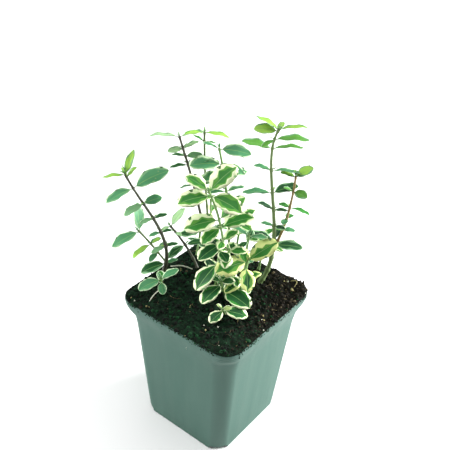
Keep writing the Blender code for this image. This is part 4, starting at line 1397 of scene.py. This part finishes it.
@dataclass
class Soil:
    """Root ball with a rough peat top that spills over the rim, and the loose bits that lie on it.

    The peat's swell and its two sizes of clods are noise: scale for each millimetre and height. It is green
    on the left and gets warmer, which is browner, towards the back right, where the key light falls; its
    crumbs there are also painted lighter, the tan ones being painted highlights. spill_drop is the furthest
    that spilt peat hangs below the rim, and how fast it thins out on the way down.
    """

    pot: Pot
    cells: int = 150
    half: float = 44.7
    corner: float = 11.6
    rise: float = 0.8
    least_rise: float = 0.15
    swell: Pair = (0.11, 0.8)
    clods: tuple[Pair, Pair] = ((0.3, 1.7), (0.75, 1.0))
    lump_spread: float = 12.0
    calm_edge: float = 0.4
    # The warm side also carries painted light: crumbs get lighter towards the back right, where the key light
    # falls
    warm_slant: float = 0.8
    warm_start: float = 4.0
    warm_width: float = 42.0
    least_warm: float = 0.03
    brown_share: float = 0.7
    crumbs: int = 2500
    small_share: float = 0.8
    crumb_sizes: tuple[Pair, Pair] = ((0.35, 0.8), (0.8, 1.5))
    bit_shape: tuple[Pair, ...] = ((0.7, 1.3), (0.6, 1.1), (0.5, 0.9))
    bit_rough: Pair = (0.75, 1.2)
    grit: int = 26
    grit_size: Pair = (0.3, 0.55)
    spills: int = 260
    spill: float = 0.25
    spill_size: Pair = (0.3, 0.65)
    spill_drop: Pair = (5.0, 1.3)
    spill_reach: float = 0.8
    spill_front: float = 0.6
    fibres: int = 40
    fibre_steps: int = 5
    fibre_turn: float = 0.9
    fibre_stretch: Pair = (1.2, 3.0)
    fibre_radius: Pair = (0.08, 0.14)
    twig_steps: int = 14
    twig_taper: float = 0.35

    def build(self) -> None:
        """Make the root ball and everything loose on it."""
        self.build_ball()
        rng = random.Random("crumbs")
        self.finish_bits("peat_crumbs", self.crumb_bits(rng))
        self.finish_bits("pale_grit", self.grit_bits(rng))
        self.finish_bits("peat_fibres", self.fibre_bits())
        self.finish_bits("fallen_twigs", self.twig_bits())

    @staticmethod
    def finish_bits(name: str, bm: BMesh) -> None:
        """Make a piece of loose bits."""
        finish_piece(name, bm, BIT_FINISHES, ["soil"])

    def round_off(self, x: float, y: float) -> Pair:
        """Move a point of the square grid inside the rounded outline."""
        inner = self.half - self.corner
        dx, dy = abs(x) - inner, abs(y) - inner
        if dx <= 0 or dy <= 0:
            return x, y
        pull = max(dx, dy) / math.hypot(dx, dy)
        return math.copysign(inner + dx * pull, x), math.copysign(inner + dy * pull, y)

    def hold(self, x: float, y: float) -> Pair:
        """Nearest point inside the rim's outline."""
        inner = RIM_WIDTH / 2 - RIM_CORNER
        dx, dy = max(0.0, abs(x) - inner), max(0.0, abs(y) - inner)
        pull = min(1.0, (RIM_CORNER + self.spill) / max(0.01, math.hypot(dx, dy)))
        x, y = (math.copysign(min(abs(a), inner) + d * pull, a) for a, d in ((x, dx), (y, dy)))
        return x, y

    def height(self, x: float, y: float) -> float:
        """Height of the rough peat over a point."""
        spot = Vector((x, y, 0))
        scale, height = self.swell
        bumps = height * noise.noise(spot * scale)
        for level, (scale, height) in enumerate(self.clods, 2):
            bumps += height * (0.5 - noise.voronoi(spot * scale + UP * level)[0][0])
        lumps = sum(rise * math.exp(-((x - a) ** 2 + (y - b) ** 2) / self.lump_spread)
                    for a, b, rise in SOIL_LUMPS)
        share = max(abs(x), abs(y)) / self.half
        calm = self.calm_edge + (1 - self.calm_edge) * min(1.0, (1 - share) * 9)
        return max(POT_HEIGHT + self.least_rise, soil_height(x, y) + self.rise + lumps + bumps * calm)

    def build_ball(self) -> None:
        """Make the root ball: a rough top, extruded down inside the pot."""
        bm = bmesh.new()
        bmesh.ops.create_grid(bm, x_segments=self.cells, y_segments=self.cells, size=self.half)
        for vertex in bm.verts:
            x, y = self.round_off(vertex.co.x, vertex.co.y)
            vertex.co = (x, y, self.height(x, y))
        edges = [edge for edge in bm.edges if edge.is_boundary]
        width = 2 * self.half
        for outer, z in ((RIM_WIDTH, POT_HEIGHT + 0.1), (RIM_WIDTH, BEAD_FOOT), (LIP_WIDTH, LIP_FOOT),
                         (BODY_TOP_WIDTH, BODY_TOP), (BASE_WIDTH, FLOOR + CLEAR)):
            made = bmesh.ops.extrude_edge_only(bm, edges=edges)["geom"]
            verts = [part for part in made if isinstance(part, BMVert)]
            edges = [part for part in made if isinstance(part, BMEdge) and part.is_boundary]
            inside = outer - 2 * (WALL + CLEAR)
            bmesh.ops.scale(bm, verts=verts, vec=(inside / width, inside / width, 1))
            for vertex in verts:
                vertex.co.z = z
            width = inside
        bmesh.ops.holes_fill(bm, edges=edges, sides=len(edges))
        bmesh.ops.recalc_face_normals(bm, faces=bm.faces)
        rng = random.Random("peat")
        for face in bm.faces:
            face.material_index = int(rng.random() < self.brown_and_lit_share(face.calc_center_median()))
        finish_piece("root_ball", bm, [GREEN_PEAT, BROWN_PEAT], ["soil"])

    def spot(self, rng: random.Random) -> Vector:
        """Random place on the peat."""
        x, y = self.round_off(rng.uniform(-self.half, self.half), rng.uniform(-self.half, self.half))
        return Vector((x, y, self.height(x, y)))

    def brown_and_lit_share(self, spot: Vector) -> float:
        """Share of brown peat at a place, from little on the left to most on the right.

        The key light falls from the right, and for crumbs the share also paints light: lighter crumbs there.
        """
        return min(1.0, max(self.least_warm, (spot.x + self.warm_slant * spot.y - self.warm_start)
                            / self.warm_width))

    def tone_at(self, spot: Vector, rng: random.Random) -> SoilTone:
        """Tone of a crumb: near black with moss on the left, more brown and tan towards the right.

        The brown and tan crumbs there are partly painted light: the side that the key light falls on is
        painted lighter, and the tan crumbs are painted highlights.
        """
        if rng.random() < self.brown_share * self.brown_and_lit_share(spot):
            return rng.choice((SoilTone.BROWN, SoilTone.BROWN, SoilTone.BROWN, SoilTone.TAN))
        return rng.choice((SoilTone.BLACK, SoilTone.BLACK, SoilTone.MOSS))

    def add_bit(self, bm: BMesh, spot: Vector, size: float, tone: SoilTone, rng: random.Random) -> None:
        """Add one rough bit, held inside the rim's outline.

        Args:
            bm: The bmesh that gets it.
            spot: Its centre.
            size: Its radius.
            tone: Its tone.
            rng: Seeded draws.
        """
        before = len(bm.faces)
        made = bmesh.ops.create_icosphere(bm, subdivisions=1, radius=size)["verts"]
        axis = Vector([rng.uniform(-1, 1) for _ in range(3)]).normalized()
        turn = Quaternion(axis, rng.uniform(0, math.tau))
        flat = Vector([rng.uniform(*span) for span in self.bit_shape])
        for vertex in made:
            rough = Vector(a * b * rng.uniform(*self.bit_rough) for a, b in zip(vertex.co, flat))
            x, y, z = spot + turn @ rough
            vertex.co = (*self.hold(x, y), z)
        bm.faces.ensure_lookup_table()
        for face in bm.faces[before:]:
            face.material_index = tone_index(tone)

    def crumb_bits(self, rng: random.Random) -> BMesh:
        """Crumbs of peat."""
        bm = bmesh.new()
        for _ in range(self.crumbs):
            size = rng.uniform(*self.crumb_sizes[rng.random() >= self.small_share])
            spot = self.spot(rng)
            self.add_bit(bm, spot, size, self.tone_at(spot, rng), rng)
        return bm

    def grit_bits(self, rng: random.Random) -> BMesh:
        """Pale grit on the peat, painted glints and a dot on the wall, and the peat that spills over the rim.
        """
        bm = bmesh.new()
        for _ in range(self.grit):
            tone = rng.choice((SoilTone.TAN, SoilTone.STRAW, SoilTone.TAN))
            self.add_bit(bm, self.spot(rng) + UP * 0.3, rng.uniform(*self.grit_size), tone, rng)
        # Painted glints on the wall: pale specks that stand in for highlights on water drops, and a dark dot
        # of dirt
        for x, y, z, size, tone in WALL_GRIT_AND_GLINTS:
            self.add_bit(bm, Vector((x, y, z)), size, tone, rng)
        for _ in range(self.spills):
            furthest, thinning = self.spill_drop
            low = POT_HEIGHT - min(furthest, rng.expovariate(thinning))
            reach = self.pot.outline(min(low, BEAD_FOOT))[0] / 2
            along = rng.uniform(-self.spill_reach, self.spill_reach) * reach
            x, y = (along, -reach) if rng.random() < self.spill_front else (reach, along)
            size = rng.uniform(*self.spill_size)
            self.add_bit(bm, Vector((x, y, low)), size, rng.choice((SoilTone.BLACK, SoilTone.MOSS)), rng)
        for x, y, size, tone in PLACED_GRIT:
            self.add_bit(bm, Vector((x, y, self.height(x, y) + 0.5 * size)), size, tone, rng)
        return bm

    def lay(self, points: Sequence[Pair], lift: float, steps: int) -> list[Vector]:
        """Smooth line over the peat through points seen from above.

        Args:
            points: The points.
            lift: Height of the line's middle over the peat.
            steps: Number of stretches.

        Returns:
            Points of the line.
        """
        knots = [Vector((x, y, 0)) for x, y in points]
        line = [blend(knots, i / steps) for i in range(steps + 1)]
        top = max(self.height(p.x, p.y) for p in line)
        for i, p in enumerate(line):
            arch = math.sin(math.pi * i / steps)
            p.z = self.height(p.x, p.y) * (1 - arch) + top * arch + lift * (0.4 + arch)
        return line

    def fibre_bits(self) -> BMesh:
        """Thin fibres of the peat."""
        rng = random.Random("fibres")
        bm = bmesh.new()
        for _ in range(self.fibres):
            way = rng.uniform(0, math.tau)
            start = self.spot(rng)
            points = [self.hold(start.x * 0.97, start.y * 0.97)]
            for _ in range(2):
                way += rng.uniform(-self.fibre_turn, self.fibre_turn)
                reach = rng.uniform(*self.fibre_stretch)
                x, y = points[-1]
                points.append(self.hold(x + reach * math.cos(way), y + reach * math.sin(way)))
            tone = rng.choice((SoilTone.BROWN, SoilTone.TAN, SoilTone.TAN, SoilTone.STRAW))
            line = self.lay([(0.99 * x, 0.99 * y) for x, y in points], 0.25, self.fibre_steps)
            radii = [rng.uniform(*self.fibre_radius)] * len(line)
            sweep(bm, [p - UP * 0.05 for p in line], radii, 4, tone)
        return bm

    def twig_bits(self) -> BMesh:
        """Pale twigs that lie on the peat."""
        bm = bmesh.new()
        for points, radius, lift, tone in FALLEN_TWIGS:
            line = self.lay(points, lift, self.twig_steps)
            radii = [radius * (1 - self.twig_taper * i / self.twig_steps) for i in range(len(line))]
            sweep(bm, line, radii, 8, tone)
        return bm


@dataclass
class Studio:
    """Pale floor, soft lights and the camera.

    The camera looks at aim from a distance, an azimuth round from the front and an elevation, and it is
    rolled about its own axis. Distances are in millimetres and angles in degrees.
    """

    aim: Triple = (-17.55, 27.74, 129.59)
    azimuth: float = 36.56
    elevation: float = 33.45
    distance: float = 468.5
    roll: float = 3.25
    lens: float = 57.245
    floor_size: float = 6000.0
    sky: float = 0.34

    def build(self) -> None:
        """Make the floor, the sky, the lights and the camera."""
        bm = bmesh.new()
        bmesh.ops.create_grid(bm, x_segments=1, y_segments=1, size=self.floor_size / 2)
        floor = add_shape("floor", bm, [FLOOR_PAINT])
        self.build_sky()
        for light in LIGHTS:
            self.add_light(*light)
        self.build_camera()
        bpy.context.scene.view_settings.view_transform = "Standard"

    def build_sky(self) -> None:
        """Set an even pale sky."""
        world = bpy.data.worlds.new("studio")
        world.use_nodes = True
        tree = world.node_tree
        feed(tree, tree.nodes["Background"], {"Color": (1, 1, 1, 1), "Strength": self.sky})
        bpy.context.scene.world = world

    @staticmethod
    def aim_at(name: str, data: ID, spot: Vector, turn: Quaternion) -> Object:
        """Put a light or camera in the scene at a spot in metres, turned."""
        thing = add_object(name, data)
        thing.location = spot
        thing.rotation_mode = "QUATERNION"
        thing.rotation_quaternion = turn
        return thing

    def add_light(self, name: str, way: Triple, size: float, power: float) -> None:
        """Hang a soft square light that faces the plant.

        Args:
            name: Name of the light.
            way: Direction from the plant, its length in metres.
            size: Side of the light in metres.
            power: Power in watts.
        """
        light = bpy.data.lights.new(name, "AREA")
        light.shape = "SQUARE"
        light.size = size
        light.energy = power
        self.aim_at(name, light, Vector(way) + UP * POT_HEIGHT * MM, Vector(way).to_track_quat("Z", "Y"))

    def build_camera(self) -> None:
        """Set up the camera at the photograph's angle."""
        azimuth, elevation = math.radians(self.azimuth), math.radians(self.elevation)
        back = Vector((math.sin(azimuth) * math.cos(elevation), -math.cos(azimuth) * math.cos(elevation),
                       math.sin(elevation)))
        camera = bpy.data.cameras.new("camera")
        camera.lens = self.lens
        camera.clip_start, camera.clip_end = 0.01, 20.0
        turn = (-back).to_track_quat("-Z", "Y") @ Quaternion(UP, math.radians(self.roll))
        stand = self.aim_at("camera", camera, (Vector(self.aim) + back * self.distance) * MM, turn)
        bpy.context.scene.camera = stand


def main() -> None:
    """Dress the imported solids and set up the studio."""
    logging.basicConfig(level=logging.INFO, format="%(message)s")
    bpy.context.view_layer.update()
    pot = Pot()
    Studio().build()
    pot.build()
    Soil(pot).build()
    Foliage(grow_plant()).build()
    shown = [name for name, node in frame["nodes"].items() if not node.hide_render]
    log.info("solids still shown: %s", shown or "none")


if __name__ == "__main__":
    main()
